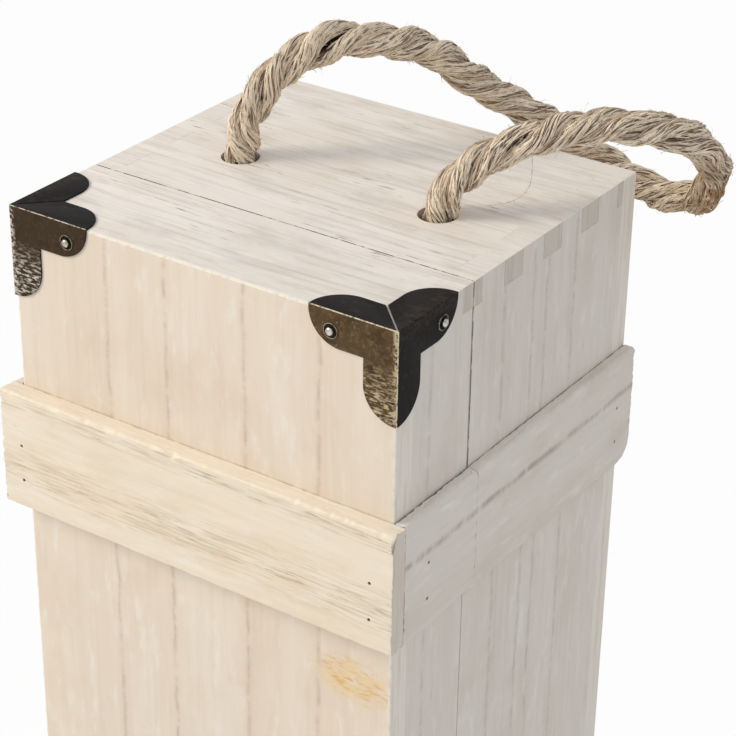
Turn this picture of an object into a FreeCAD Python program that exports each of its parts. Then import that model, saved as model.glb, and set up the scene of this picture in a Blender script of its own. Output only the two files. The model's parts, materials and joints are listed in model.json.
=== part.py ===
import FreeCAD, Part
import math
import os
from FreeCAD import Matrix, Placement, Rotation, Vector

# Hurricane candle lantern: a wooden case that was glued up closed and then sawn in two.
# The thin front part is the door. It has a glazed window, trim bands and metal corner brackets.
# Millimetres. +Z is up, the door faces -Y, and the origin is the centre of the footprint on the floor.

# Case and boards
CASE_WIDTH = 150.0
CASE_DEPTH = 144.0
CASE_HEIGHT = 480.0
BOARD = 9.0
DOOR_DEPTH = 41.4
SAW_KERF = 0.8
DOOR_FLOOR_GAP = 1.5

# Finger joints between the side boards and the top and bottom boards
FINGER_WIDTH = 11.0
FINGER_PITCH = 24.0
FINGER_FIRST = 8.0

# Trim bands
BAND_HEIGHT = 43.5
BAND_DROP = 65.5
BAND_FRONT = 7.0
BAND_SIDE = 4.5

# Brads of the trim bands
BRAD_HEAD_RADIUS = 1.1
BRAD_HEAD_HEIGHT = 0.8
BRAD_SHANK_RADIUS = 0.7
BRAD_SINK = 0.4
BRAD_BITE = 7.0
BRAD_SPACING = 13.5
BRAD_BELOW_CENTRE = 4.5
BRAD_END_DISTANCE = 8.5
BRAD_SIDE_END_DISTANCE = 13.5
BRAD_BACK_END_DISTANCE = 10.5

# Windows
WINDOW_SILL = 62.0
WINDOW_HEIGHT = 186.0
FRONT_WINDOW_WIDTH = 92.0
SIDE_WINDOW_WIDTH = 60.0
WINDOW_LIP = 3.5
RABBET_WIDTH = 5.0
GLASS = 2.5
GLASS_CLEARANCE = 0.3

# Vent holes in the back
VENT_RADIUS = 4.0
VENT_COUNT = 5
VENT_SPACING = 22.0
VENT_FROM_TOP = 42.0
VENT_FROM_FLOOR = 62.0

# Corner brackets
BRACKET_LEG = 31.8
BRACKET_LOBE = 11.8
BRACKET_ROUND = 11.2
BRACKET_SHEET = 0.6
BRACKET_SLIT = 0.6
BRACKET_NAIL_ALONG = 23.5
BRACKET_NAIL_DOWN = 6.3
NAIL_HEAD_RADIUS = 2.8
NAIL_HEAD_HEIGHT = 1.5
NAIL_SHANK_RADIUS = 1.0
NAIL_BITE = 7.0

# Butt hinges on the left bands
HINGE_HEIGHT = 34.0
HINGE_LEAF_WIDTH = 17.0
HINGE_SHEET = 1.0
HINGE_BARREL_RADIUS = 2.8
HINGE_BARREL_STANDOFF = 0.2
HINGE_PIN_RADIUS = 1.2
HINGE_PIN_CLEARANCE = 0.05
HINGE_PIN_HEAD_RADIUS = 2.2
HINGE_PIN_HEAD_HEIGHT = 1.2
HINGE_KNUCKLE_GAP = 0.2
HINGE_LEAF_CLEARANCE = 0.5
HINGE_SCREW_INSET = 7.5

# Countersunk screws of the hinges, the latch and the candle pan
SCREW_HEAD_RADIUS = 2.4
SCREW_SHANK_RADIUS = 1.2
SCREW_BITE = 6.0
SCREW_TIP = 1.5
SCREW_SLOT_WIDTH = 0.6
SCREW_SLOT_DEPTH = 0.5
FASTENER_CLEARANCE = 0.05

# Hook latch on the right side
LATCH_HEIGHT = 262.0
LATCH_PIVOT_FROM_SAW = 8.0
LATCH_STUD_FROM_SAW = 8.0
LATCH_SHEET = 1.0
LATCH_PLATE_WIDTH = 10.0
LATCH_PLATE_HEIGHT = 20.0
LATCH_SCREW_SPACING = 13.0
LATCH_STUD_RADIUS = 1.5
LATCH_STUD_HEAD_RADIUS = 2.6
LATCH_STUD_HEAD_HEIGHT = 1.0
LATCH_PIVOT_CLEARANCE = 0.06
HOOK_SHEET = 1.6
HOOK_PLAY = 0.3
HOOK_EYE_RADIUS = 4.0
HOOK_BAR_WIDTH = 6.0
HOOK_THROAT = 4.4
HOOK_NOSE = 3.0
HOOK_RAISED_ANGLE = 80.0

# Rope handle and its holes
ROPE_RADIUS = 5.9
ROPE_HOLE_CLEARANCE = 0.8
ROPE_HOLE_SPACING = 79.6
ROPE_HOLES_Y = 3.4
KNOT_RADIUS = 17.0
KNOT_HEIGHT = 30.0
KNOT_ROUND = 7.0
KNOT_TAIL = 12.0

# Candle, its pan and its spike
PAN_RADIUS = 36.0
PAN_SHEET = 1.2
PAN_RIM = 8.0
PAN_CENTRE_Y = 10.0
PAN_SCREW_CIRCLE = 25.0
PAN_SCREW_COUNT = 3
SPIKE_RADIUS = 2.0
SPIKE_TIP_RADIUS = 0.3
SPIKE_HEIGHT = 24.0
SPIKE_CLEARANCE = 0.4
CANDLE_RADIUS = 30.0
CANDLE_HEIGHT = 95.0
CANDLE_SHOULDER = 4.0
CANDLE_DISH = 2.0
CANDLE_SEAT_GAP = 0.2
WICK_RADIUS = 1.0
WICK_HEIGHT = 11.0

# Places worked out from the driving dimensions
HALF_WIDTH = CASE_WIDTH / 2
FRONT_Y = -CASE_DEPTH / 2
BACK_Y = CASE_DEPTH / 2
FRONT_INSIDE_Y = FRONT_Y + BOARD
BACK_INSIDE_Y = BACK_Y - BOARD
SAW_Y = FRONT_Y + DOOR_DEPTH
DOOR_BACK_Y = SAW_Y - SAW_KERF / 2
CASE_FRONT_Y = SAW_Y + SAW_KERF / 2
SIDE_INSIDE_X = HALF_WIDTH - BOARD
BAND_OUTER_X = HALF_WIDTH + BAND_SIDE
BAND_OUTER_Y = FRONT_Y - BAND_FRONT
TOP_INSIDE_Z = CASE_HEIGHT - BOARD
UPPER_BAND_Z = CASE_HEIGHT - BAND_DROP - BAND_HEIGHT
BASE_BAND_Z = 0.0
WINDOW_TOP = WINDOW_SILL + WINDOW_HEIGHT
SIDE_WINDOW_Y = (CASE_FRONT_Y + BACK_INSIDE_Y) / 2
LEFT, RIGHT = -1, 1

AXIS_X = Vector(1, 0, 0)
AXIS_Y = Vector(0, 1, 0)
AXIS_Z = Vector(0, 0, 1)


def block(x_range, y_range, z_range):
    """A box between two values on each axis, given in any order."""
    (x0, x1), (y0, y1), (z0, z1) = sorted(x_range), sorted(y_range), sorted(z_range)
    return Part.makeBox(x1 - x0, y1 - y0, z1 - z0, Vector(x0, y0, z0))


def turned(outline):
    """A solid of revolution about Z from (radius, height) points that start and end on the axis."""
    points = [Vector(radius, 0, height) for radius, height in outline]
    face = Part.Face(Part.makePolygon(points + points[:1]))
    return face.revolve(Vector(), AXIS_Z, 360)


def placed(shape, point, outward):
    """A copy whose origin is at a point and whose +Z points outward."""
    moved = shape.copy()
    moved.Placement = Placement(point, Rotation(AXIS_Z, outward))
    return moved


def mirrored(shape):
    """The same shape on the other side of the lantern's middle plane."""
    return shape.mirror(Vector(), AXIS_X)


def joined(shapes):
    """One solid from shapes that touch or overlap."""
    return shapes[0].fuse(shapes[1:]).removeSplitter()


def drilled(shape, tools):
    """The shape with every hole tool taken out that reaches it."""
    reached = [tool for tool in tools if shape.BoundBox.intersect(tool.BoundBox)]
    return shape.cut(reached) if reached else shape


parts = {}


# Fasteners: each maker returns the fastener and the hole that it needs
def brad(length):
    """A thin finishing nail with its head sunk under the surface."""
    head_top = -BRAD_SINK
    head_bottom = head_top - BRAD_HEAD_HEIGHT
    nail = turned([(0, head_top), (BRAD_HEAD_RADIUS, head_top), (BRAD_HEAD_RADIUS, head_bottom),
                   (BRAD_SHANK_RADIUS, head_bottom), (BRAD_SHANK_RADIUS, -length), (0, -length)])
    head_hole = BRAD_HEAD_RADIUS + FASTENER_CLEARANCE
    shank_hole = BRAD_SHANK_RADIUS + FASTENER_CLEARANCE
    hole = turned([(0, 0), (head_hole, 0), (head_hole, head_bottom),
                   (shank_hole, head_bottom), (shank_hole, -length), (0, -length)])
    return nail, hole


def countersunk_screw(sheet, length):
    """A slotted wood screw whose cone fills a countersink through a sheet of metal."""
    neck = length - SCREW_TIP
    screw = turned([(0, 0), (SCREW_HEAD_RADIUS, 0), (SCREW_SHANK_RADIUS, -sheet),
                    (SCREW_SHANK_RADIUS, -neck), (0, -length)])
    slot = block((-SCREW_HEAD_RADIUS, SCREW_HEAD_RADIUS), (-SCREW_SLOT_WIDTH / 2, SCREW_SLOT_WIDTH / 2),
                 (-SCREW_SLOT_DEPTH, 0))
    head_hole = SCREW_HEAD_RADIUS + FASTENER_CLEARANCE
    shank_hole = SCREW_SHANK_RADIUS + FASTENER_CLEARANCE
    hole = turned([(0, 0), (head_hole, 0), (shank_hole, -sheet), (shank_hole, -length), (0, -length)])
    return screw.cut(slot), hole


def bracket_nail():
    """A nail with a domed head that sits on the bracket's sheet."""
    length = BRACKET_SHEET + NAIL_BITE
    rim = Vector(NAIL_HEAD_RADIUS, 0, 0)
    crown = Vector(0, 0, NAIL_HEAD_HEIGHT)
    dome_radius = (NAIL_HEAD_RADIUS ** 2 + NAIL_HEAD_HEIGHT ** 2) / (2 * NAIL_HEAD_HEIGHT)
    half_angle = math.asin(NAIL_HEAD_RADIUS / dome_radius) / 2
    shoulder = Vector(dome_radius * math.sin(half_angle), 0,
                      NAIL_HEAD_HEIGHT - dome_radius * (1 - math.cos(half_angle)))
    corners = [crown, Vector(0, 0, -length), Vector(NAIL_SHANK_RADIUS, 0, -length),
               Vector(NAIL_SHANK_RADIUS, 0, 0), rim]
    edges = [Part.makeLine(start, end) for start, end in zip(corners, corners[1:])]
    edges.append(Part.Arc(rim, shoulder, crown).toShape())
    nail = Part.Face(Part.Wire(edges)).revolve(Vector(), AXIS_Z, 360)
    shank_hole = NAIL_SHANK_RADIUS + FASTENER_CLEARANCE
    hole = turned([(0, 0), (shank_hole, 0), (shank_hole, -length), (0, -length)])
    return nail, hole


def set_fasteners(fastener_and_hole, points, outward):
    """Copies of one fastener and of its hole at each point."""
    fastener, hole = fastener_and_hole
    return ([placed(fastener, point, outward) for point in points],
            [placed(hole, point, outward) for point in points])


# Trim bands: the front ones cover the ends of the side ones
def band_pieces(band_z):
    """The five pieces of one trim band, with the door's pieces trimmed off the floor."""
    z_range = (band_z, band_z + BAND_HEIGHT)
    door_z_range = (max(band_z, DOOR_FLOOR_GAP), band_z + BAND_HEIGHT)
    pieces = {"front": block((-BAND_OUTER_X, BAND_OUTER_X), (BAND_OUTER_Y, FRONT_Y), door_z_range)}
    for side, hand in (("left", LEFT), ("right", RIGHT)):
        x_range = (hand * HALF_WIDTH, hand * BAND_OUTER_X)
        pieces["door_" + side] = block(x_range, (FRONT_Y, DOOR_BACK_Y), door_z_range)
        pieces[side] = block(x_range, (CASE_FRONT_Y, BACK_Y), z_range)
    return pieces


def band_brads(band_z):
    """Brads of one band: lists of the door's and the case's brads, and of all their holes."""
    middle = band_z + BAND_HEIGHT / 2 - BRAD_BELOW_CENTRE
    heights = (middle - BRAD_SPACING / 2, middle + BRAD_SPACING / 2)
    front_points = [Vector(hand * (BAND_OUTER_X - BRAD_END_DISTANCE), BAND_OUTER_Y, z)
                    for hand in (LEFT, RIGHT) for z in heights]
    door, holes = set_fasteners(brad(BAND_FRONT + BRAD_BITE), front_points, -AXIS_Y)
    case = []
    for hand in (LEFT, RIGHT):
        outward = AXIS_X * hand
        face_x = hand * BAND_OUTER_X
        door_points = [Vector(face_x, FRONT_Y + BRAD_SIDE_END_DISTANCE, z) for z in heights]
        case_points = [Vector(face_x, BACK_Y - BRAD_BACK_END_DISTANCE, z) for z in heights]
        side_brad = brad(BAND_SIDE + BRAD_BITE)
        door_nails, door_holes = set_fasteners(side_brad, door_points, outward)
        case_nails, case_holes = set_fasteners(side_brad, case_points, outward)
        door += door_nails
        case += case_nails
        holes += door_holes + case_holes
    return door, case, holes


holes = []
door_brads = []
case_brads = []
for band_name, band_z in (("upper_band", UPPER_BAND_Z), ("base_band", BASE_BAND_Z)):
    for piece_name, piece in band_pieces(band_z).items():
        parts[band_name + "_" + piece_name] = piece
    band_door_brads, band_case_brads, band_holes = band_brads(band_z)
    door_brads += band_door_brads
    case_brads += band_case_brads
    holes += band_holes
parts["door_band_brads"] = Part.makeCompound(door_brads)
parts["case_band_brads"] = Part.makeCompound(case_brads)


# Boards of the case and of the door, sawn from one finger-jointed box
def corner_zone(hand, z_range):
    """The strip where a side board and a top or bottom board cross."""
    return block((hand * SIDE_INSIDE_X, hand * HALF_WIDTH), (FRONT_INSIDE_Y, BACK_INSIDE_Y), z_range)


def corner_fingers(hand, z_range):
    """The fingers of a top or bottom board inside one corner zone."""
    zone = corner_zone(hand, z_range)
    count = math.ceil((BACK_INSIDE_Y - FRONT_INSIDE_Y) / FINGER_PITCH) + 1
    centres = [FRONT_INSIDE_Y + FINGER_FIRST + FINGER_PITCH * number for number in range(count)]
    strips = [block((hand * SIDE_INSIDE_X, hand * HALF_WIDTH),
                    (centre - FINGER_WIDTH / 2, centre + FINGER_WIDTH / 2), z_range) for centre in centres]
    return zone.common(Part.makeCompound(strips))


TOP_RANGE = (TOP_INSIDE_Z, CASE_HEIGHT)
BOTTOM_RANGE = (0, BOARD)


def side_board(hand):
    """One side of the closed box, with sockets for the top's and the bottom's fingers."""
    board = block((hand * SIDE_INSIDE_X, hand * HALF_WIDTH), (FRONT_INSIDE_Y, BACK_INSIDE_Y),
                  (0, CASE_HEIGHT))
    return board.cut([corner_fingers(hand, TOP_RANGE), corner_fingers(hand, BOTTOM_RANGE)])


def end_board(z_range):
    """The top or the bottom of the closed box, with its fingers at both ends."""
    board = block((-SIDE_INSIDE_X, SIDE_INSIDE_X), (FRONT_INSIDE_Y, BACK_INSIDE_Y), z_range)
    return joined([board, corner_fingers(LEFT, z_range), corner_fingers(RIGHT, z_range)])


REACH = CASE_WIDTH + CASE_DEPTH
DOOR_ZONE = block((-REACH, REACH), (-REACH, DOOR_BACK_Y), (DOOR_FLOOR_GAP, CASE_HEIGHT))
CASE_ZONE = block((-REACH, REACH), (CASE_FRONT_Y, REACH), (0, CASE_HEIGHT))


def glazed_window(width, face, centre, outward):
    """Window cutter, pane and beads for a board, seen from outside.

    The board's outer face is at `face` along `outward`, and the window's middle is at `centre` across it.
    """
    sideways = AXIS_Z.cross(outward)
    base = outward * face + sideways * centre

    def cell(across, up, inward):
        """A box from ranges across the window, up from the floor and inward from the outer face."""
        low = base + sideways * across[0] + AXIS_Z * up[0] - outward * inward[0]
        high = base + sideways * across[1] + AXIS_Z * up[1] - outward * inward[1]
        return block((low.x, high.x), (low.y, high.y), (low.z, high.z))

    half = width / 2
    outer = half + RABBET_WIDTH
    low, high = WINDOW_SILL - RABBET_WIDTH, WINDOW_TOP + RABBET_WIDTH
    opening = cell((-half, half), (WINDOW_SILL, WINDOW_TOP), (0, BOARD))
    rabbet = cell((-outer, outer), (low, high), (WINDOW_LIP, BOARD))
    pane_half = outer - GLASS_CLEARANCE
    pane = cell((-pane_half, pane_half), (low + GLASS_CLEARANCE, high - GLASS_CLEARANCE),
                (WINDOW_LIP, WINDOW_LIP + GLASS))
    depth = (WINDOW_LIP + GLASS, BOARD)
    beads = [cell((hand * half, hand * outer), (low, high), depth) for hand in (LEFT, RIGHT)]
    beads += [cell((-half, half), up, depth) for up in ((low, WINDOW_SILL), (WINDOW_TOP, high))]
    return joined([opening, rabbet]), pane, Part.makeCompound(beads)


side_windows = {}
for side, hand in (("left", LEFT), ("right", RIGHT)):
    cutter, pane, beads = glazed_window(SIDE_WINDOW_WIDTH, HALF_WIDTH, hand * SIDE_WINDOW_Y, AXIS_X * hand)
    side_windows[side] = cutter
    parts[side + "_window_glass"] = pane
    parts[side + "_window_beads"] = beads
front_cutter, front_pane, front_beads = glazed_window(FRONT_WINDOW_WIDTH, -FRONT_Y, 0, -AXIS_Y)
parts["front_window_glass"] = front_pane
parts["front_window_beads"] = front_beads

for side, hand in (("left", LEFT), ("right", RIGHT)):
    board = side_board(hand)
    parts[side + "_side_panel"] = board.common(CASE_ZONE).cut(side_windows[side])
    parts["door_" + side + "_board"] = board.common(DOOR_ZONE)
for name, z_range in (("top", TOP_RANGE), ("bottom", BOTTOM_RANGE)):
    board = end_board(z_range)
    parts[name + "_panel"] = board.common(CASE_ZONE)
    parts["door_" + name + "_board"] = board.common(DOOR_ZONE)

rope_hole_x = [hand * ROPE_HOLE_SPACING / 2 for hand in (LEFT, RIGHT)]
rope_holes = [Part.makeCylinder(ROPE_RADIUS + ROPE_HOLE_CLEARANCE, BOARD, Vector(x, ROPE_HOLES_Y, TOP_INSIDE_Z))
              for x in rope_hole_x]
parts["top_panel"] = parts["top_panel"].cut(rope_holes)

parts["front_panel"] = block((-HALF_WIDTH, HALF_WIDTH), (FRONT_Y, FRONT_INSIDE_Y),
                             (DOOR_FLOOR_GAP, CASE_HEIGHT)).cut(front_cutter)
vents = [Part.makeCylinder(VENT_RADIUS, BOARD, Vector((number - (VENT_COUNT - 1) / 2) * VENT_SPACING,
                                                      BACK_INSIDE_Y, z), AXIS_Y)
         for number in range(VENT_COUNT) for z in (VENT_FROM_FLOOR, CASE_HEIGHT - VENT_FROM_TOP)]
parts["back_panel"] = block((-HALF_WIDTH, HALF_WIDTH), (BACK_INSIDE_Y, BACK_Y), (0, CASE_HEIGHT)).cut(vents)


# Corner brackets: one L-shaped sheet with two rounded lobes on each of three faces
def bracket_sheet():
    """One face of a bracket in its own plane: the corner at the origin, lobes along +X and +Y."""
    edge = -BRACKET_SHEET
    straight = BRACKET_LEG - BRACKET_ROUND
    bulge = math.sqrt(0.5)
    shoulder = (straight + BRACKET_ROUND * bulge, BRACKET_LOBE * bulge)
    corner = Vector(edge, edge, 0)
    tip_x = Vector(BRACKET_LEG, 0, 0)
    root_x = Vector(straight, BRACKET_LOBE, 0)
    notch = Vector(BRACKET_LOBE, BRACKET_LOBE, 0)
    root_y = Vector(root_x.y, root_x.x, 0)
    tip_y = Vector(0, BRACKET_LEG, 0)
    lines = [(corner, Vector(BRACKET_LEG, edge, 0)), (Vector(BRACKET_LEG, edge, 0), tip_x), (root_x, notch),
             (notch, root_y), (tip_y, Vector(edge, BRACKET_LEG, 0)), (Vector(edge, BRACKET_LEG, 0), corner)]
    edges = [Part.makeLine(start, end) for start, end in lines]
    edges.append(Part.Arc(tip_x, Vector(shoulder[0], shoulder[1], 0), root_x).toShape())
    edges.append(Part.Arc(root_y, Vector(shoulder[1], shoulder[0], 0), tip_y).toShape())
    outline = Part.Wire(Part.__sortEdges__(edges))
    return Part.Face(outline).extrude(AXIS_Z * BRACKET_SHEET)


def mitred(sheet):
    """The same face as two flaps, with an open mitre between them from the corner to the notch."""
    slit = block((0, BRACKET_LEG), (-BRACKET_SLIT / 2, BRACKET_SLIT / 2), (0, BRACKET_SHEET))
    return sheet.cut(slit.rotate(Vector(), AXIS_Z, 45))


def on_face(shape, origin, along, across, outward):
    """The shape with its X, Y and Z axes laid along three world directions."""
    matrix = Matrix(along.x, across.x, outward.x, origin.x,
                    along.y, across.y, outward.y, origin.y,
                    along.z, across.z, outward.z, origin.z)
    return shape.transformGeometry(matrix)


bracket_corner = Vector(HALF_WIDTH, FRONT_Y, CASE_HEIGHT)
sheet = bracket_sheet()
bracket = joined([on_face(sheet, bracket_corner, -AXIS_X, -AXIS_Z, -AXIS_Y),
                  on_face(sheet, bracket_corner, AXIS_Y, -AXIS_Z, AXIS_X),
                  on_face(mitred(sheet), bracket_corner, -AXIS_X, AXIS_Y, AXIS_Z)])
nail_z = CASE_HEIGHT - BRACKET_NAIL_DOWN
front_nail = Vector(HALF_WIDTH - BRACKET_NAIL_ALONG, FRONT_Y - BRACKET_SHEET, nail_z)
side_nail = Vector(HALF_WIDTH + BRACKET_SHEET, FRONT_Y + BRACKET_NAIL_ALONG, nail_z)
nails = []
nail_holes = []
for point, outward in ((front_nail, -AXIS_Y), (side_nail, AXIS_X)):
    new_nails, new_holes = set_fasteners(bracket_nail(), [point], outward)
    nails += new_nails
    nail_holes += new_holes
nails += [mirrored(nail) for nail in nails]
nail_holes += [mirrored(hole) for hole in nail_holes]
parts["corner_bracket_right"] = drilled(bracket, nail_holes)
parts["corner_bracket_left"] = mirrored(parts["corner_bracket_right"])
parts["corner_bracket_nails"] = Part.makeCompound(nails)
holes += nail_holes

# Butt hinges: the axis stands beside the left bands, in the plane of the saw cut
HINGE_X = -(BAND_OUTER_X + HINGE_BARREL_STANDOFF + HINGE_BARREL_RADIUS)
KNUCKLE = HINGE_HEIGHT / 3


def hinge_leaf(base_z, toward, knuckles, other_knuckles):
    """One leaf with its knuckles, on the band's outer face, toward the case (+1) or the door (-1)."""
    leaf = block((-BAND_OUTER_X - HINGE_SHEET, -BAND_OUTER_X), (SAW_Y, SAW_Y + toward * HINGE_LEAF_WIDTH),
                 (base_z, base_z + HINGE_HEIGHT))
    notch_reach = HINGE_BARREL_RADIUS + HINGE_LEAF_CLEARANCE
    notches = [block((HINGE_X, -BAND_OUTER_X), (SAW_Y, SAW_Y + toward * notch_reach),
                     (base_z + number * KNUCKLE - HINGE_KNUCKLE_GAP,
                      base_z + (number + 1) * KNUCKLE + HINGE_KNUCKLE_GAP)) for number in other_knuckles]
    barrels = [Part.makeCylinder(HINGE_BARREL_RADIUS, KNUCKLE - HINGE_KNUCKLE_GAP,
                                 Vector(HINGE_X, SAW_Y, base_z + number * KNUCKLE + HINGE_KNUCKLE_GAP / 2))
               for number in knuckles]
    leaf = joined([leaf.cut(notches)] + barrels)
    bore = Part.makeCylinder(HINGE_PIN_RADIUS + HINGE_PIN_CLEARANCE, HINGE_HEIGHT,
                             Vector(HINGE_X, SAW_Y, base_z))
    return leaf.cut(bore)


def hinge_pin(base_z):
    """A pin with a button head at each end, a knuckle gap clear of the barrel."""
    low = base_z - HINGE_KNUCKLE_GAP
    high = base_z + HINGE_HEIGHT + HINGE_KNUCKLE_GAP
    pin = turned([(0, low - HINGE_PIN_HEAD_HEIGHT), (HINGE_PIN_HEAD_RADIUS, low - HINGE_PIN_HEAD_HEIGHT),
                  (HINGE_PIN_HEAD_RADIUS, low), (HINGE_PIN_RADIUS, low), (HINGE_PIN_RADIUS, high),
                  (HINGE_PIN_HEAD_RADIUS, high), (HINGE_PIN_HEAD_RADIUS, high + HINGE_PIN_HEAD_HEIGHT),
                  (0, high + HINGE_PIN_HEAD_HEIGHT)])
    return placed(pin, Vector(HINGE_X, SAW_Y, 0), AXIS_Z)


hinge_screws = {"case": [], "door": []}
for hinge_name, band_z in (("upper_hinge", UPPER_BAND_Z), ("lower_hinge", BASE_BAND_Z)):
    base_z = band_z + (BAND_HEIGHT - HINGE_HEIGHT) / 2
    for owner, toward, own, other in (("case", 1, (0, 2), (1,)), ("door", -1, (1,), (0, 2))):
        screw_y = SAW_Y + toward * (HINGE_LEAF_WIDTH + HINGE_BARREL_RADIUS) / 2
        screw_points = [Vector(-BAND_OUTER_X - HINGE_SHEET, screw_y, z)
                        for z in (base_z + HINGE_SCREW_INSET, base_z + HINGE_HEIGHT - HINGE_SCREW_INSET)]
        screw = countersunk_screw(HINGE_SHEET, HINGE_SHEET + BAND_SIDE + SCREW_BITE)
        screws, screw_holes = set_fasteners(screw, screw_points, -AXIS_X)
        leaf = hinge_leaf(base_z, toward, own, other)
        parts[hinge_name + "_" + owner + "_leaf"] = drilled(leaf, screw_holes)
        hinge_screws[owner] += screws
        holes += screw_holes
    parts[hinge_name + "_pin"] = hinge_pin(base_z)
for owner, screws in hinge_screws.items():
    parts["hinge_" + owner + "_screws"] = Part.makeCompound(screws)

# Hook latch on the right side: the hook turns on the door's plate and drops over the case's stud
PIVOT_Y = DOOR_BACK_Y - LATCH_PIVOT_FROM_SAW
STUD_Y = CASE_FRONT_Y + LATCH_STUD_FROM_SAW
LATCH_FACE_X = HALF_WIDTH + LATCH_SHEET
HOOK_REACH = STUD_Y - PIVOT_Y


def latch_plate(y):
    """A screwed plate with a headed stud that leaves room for the hook, its screws and their holes."""
    plate = block((HALF_WIDTH, LATCH_FACE_X), (y - LATCH_PLATE_WIDTH / 2, y + LATCH_PLATE_WIDTH / 2),
                  (LATCH_HEIGHT - LATCH_PLATE_HEIGHT / 2, LATCH_HEIGHT + LATCH_PLATE_HEIGHT / 2))
    neck = HOOK_SHEET + 2 * HOOK_PLAY
    stud = turned([(0, 0), (LATCH_STUD_RADIUS, 0), (LATCH_STUD_RADIUS, neck), (LATCH_STUD_HEAD_RADIUS, neck),
                   (LATCH_STUD_HEAD_RADIUS, neck + LATCH_STUD_HEAD_HEIGHT),
                   (0, neck + LATCH_STUD_HEAD_HEIGHT)])
    plate = joined([plate, placed(stud, Vector(LATCH_FACE_X, y, LATCH_HEIGHT), AXIS_X)])
    points = [Vector(LATCH_FACE_X, y, LATCH_HEIGHT + sign * LATCH_SCREW_SPACING / 2) for sign in (-1, 1)]
    screws, screw_holes = set_fasteners(countersunk_screw(LATCH_SHEET, LATCH_SHEET + SCREW_BITE),
                                        points, AXIS_X)
    return drilled(plate, screw_holes), Part.makeCompound(screws), screw_holes


def latch_hook():
    """The flat hook, drawn closed over the stud and then turned up to its resting place."""
    x_range = (LATCH_FACE_X + HOOK_PLAY, LATCH_FACE_X + HOOK_PLAY + HOOK_SHEET)
    half_bar = HOOK_BAR_WIDTH / 2
    tip_y = STUD_Y + HOOK_THROAT / 2 + HOOK_NOSE
    flat_start = Vector(x_range[0], PIVOT_Y, LATCH_HEIGHT)
    bar = block(x_range, (PIVOT_Y, tip_y - half_bar), (LATCH_HEIGHT - half_bar, LATCH_HEIGHT + half_bar))
    eye = Part.makeCylinder(HOOK_EYE_RADIUS, HOOK_SHEET, flat_start, AXIS_X)
    nose_centre = Vector(x_range[0], tip_y - half_bar, LATCH_HEIGHT)
    nose = Part.makeCylinder(half_bar, HOOK_SHEET, nose_centre, AXIS_X)
    pivot_hole = Part.makeCylinder(LATCH_STUD_RADIUS + LATCH_PIVOT_CLEARANCE, HOOK_SHEET, flat_start, AXIS_X)
    throat_end = Part.makeCylinder(HOOK_THROAT / 2, HOOK_SHEET,
                                   Vector(x_range[0], STUD_Y, LATCH_HEIGHT), AXIS_X)
    throat = block(x_range, (STUD_Y - HOOK_THROAT / 2, STUD_Y + HOOK_THROAT / 2),
                   (LATCH_HEIGHT - HOOK_BAR_WIDTH, LATCH_HEIGHT))
    hook = joined([bar, eye, nose]).cut([pivot_hole, throat_end, throat])
    return hook.rotate(Vector(0, PIVOT_Y, LATCH_HEIGHT), AXIS_X, HOOK_RAISED_ANGLE)


for plate_name, plate_y in (("latch_plate", PIVOT_Y), ("latch_keeper", STUD_Y)):
    plate, screws, screw_holes = latch_plate(plate_y)
    parts[plate_name] = plate
    parts[plate_name + "_screws"] = screws
    holes += screw_holes
parts["latch_hook"] = latch_hook()

# Candle pan with its spike, screwed to the bottom, and the candle on it
PAN_CENTRE = Vector(0, PAN_CENTRE_Y, BOARD)
pan_inner = PAN_RADIUS - PAN_SHEET
pan = turned([(0, 0), (PAN_RADIUS, 0), (PAN_RADIUS, PAN_RIM), (pan_inner, PAN_RIM), (pan_inner, PAN_SHEET),
              (SPIKE_RADIUS, PAN_SHEET), (SPIKE_TIP_RADIUS, PAN_SHEET + SPIKE_HEIGHT),
              (0, PAN_SHEET + SPIKE_HEIGHT)])
pan_angles = [2 * math.pi * number / PAN_SCREW_COUNT for number in range(PAN_SCREW_COUNT)]
pan_screw_points = [PAN_CENTRE + Vector(PAN_SCREW_CIRCLE * math.cos(angle), PAN_SCREW_CIRCLE * math.sin(angle),
                                        PAN_SHEET) for angle in pan_angles]
pan_screws, pan_holes = set_fasteners(countersunk_screw(PAN_SHEET, PAN_SHEET + SCREW_BITE),
                                      pan_screw_points, AXIS_Z)
parts["candle_pan"] = drilled(placed(pan, PAN_CENTRE, AXIS_Z), pan_holes)
parts["candle_pan_screws"] = Part.makeCompound(pan_screws)
holes += pan_holes

candle_base = PAN_CENTRE + AXIS_Z * (PAN_SHEET + CANDLE_SEAT_GAP)
socket_radius = SPIKE_RADIUS + SPIKE_CLEARANCE
socket_top = SPIKE_HEIGHT + SPIKE_CLEARANCE
dish_z = CANDLE_HEIGHT - CANDLE_DISH
candle = turned([(0, socket_top), (socket_radius, socket_top), (socket_radius, 0), (CANDLE_RADIUS, 0),
                 (CANDLE_RADIUS, CANDLE_HEIGHT - CANDLE_SHOULDER),
                 (CANDLE_RADIUS - CANDLE_SHOULDER, CANDLE_HEIGHT), (WICK_RADIUS, dish_z), (0, dish_z)])
parts["candle"] = placed(candle, candle_base, AXIS_Z)
parts["candle_wick"] = Part.makeCylinder(WICK_RADIUS, WICK_HEIGHT, candle_base + AXIS_Z * dish_z)

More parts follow.
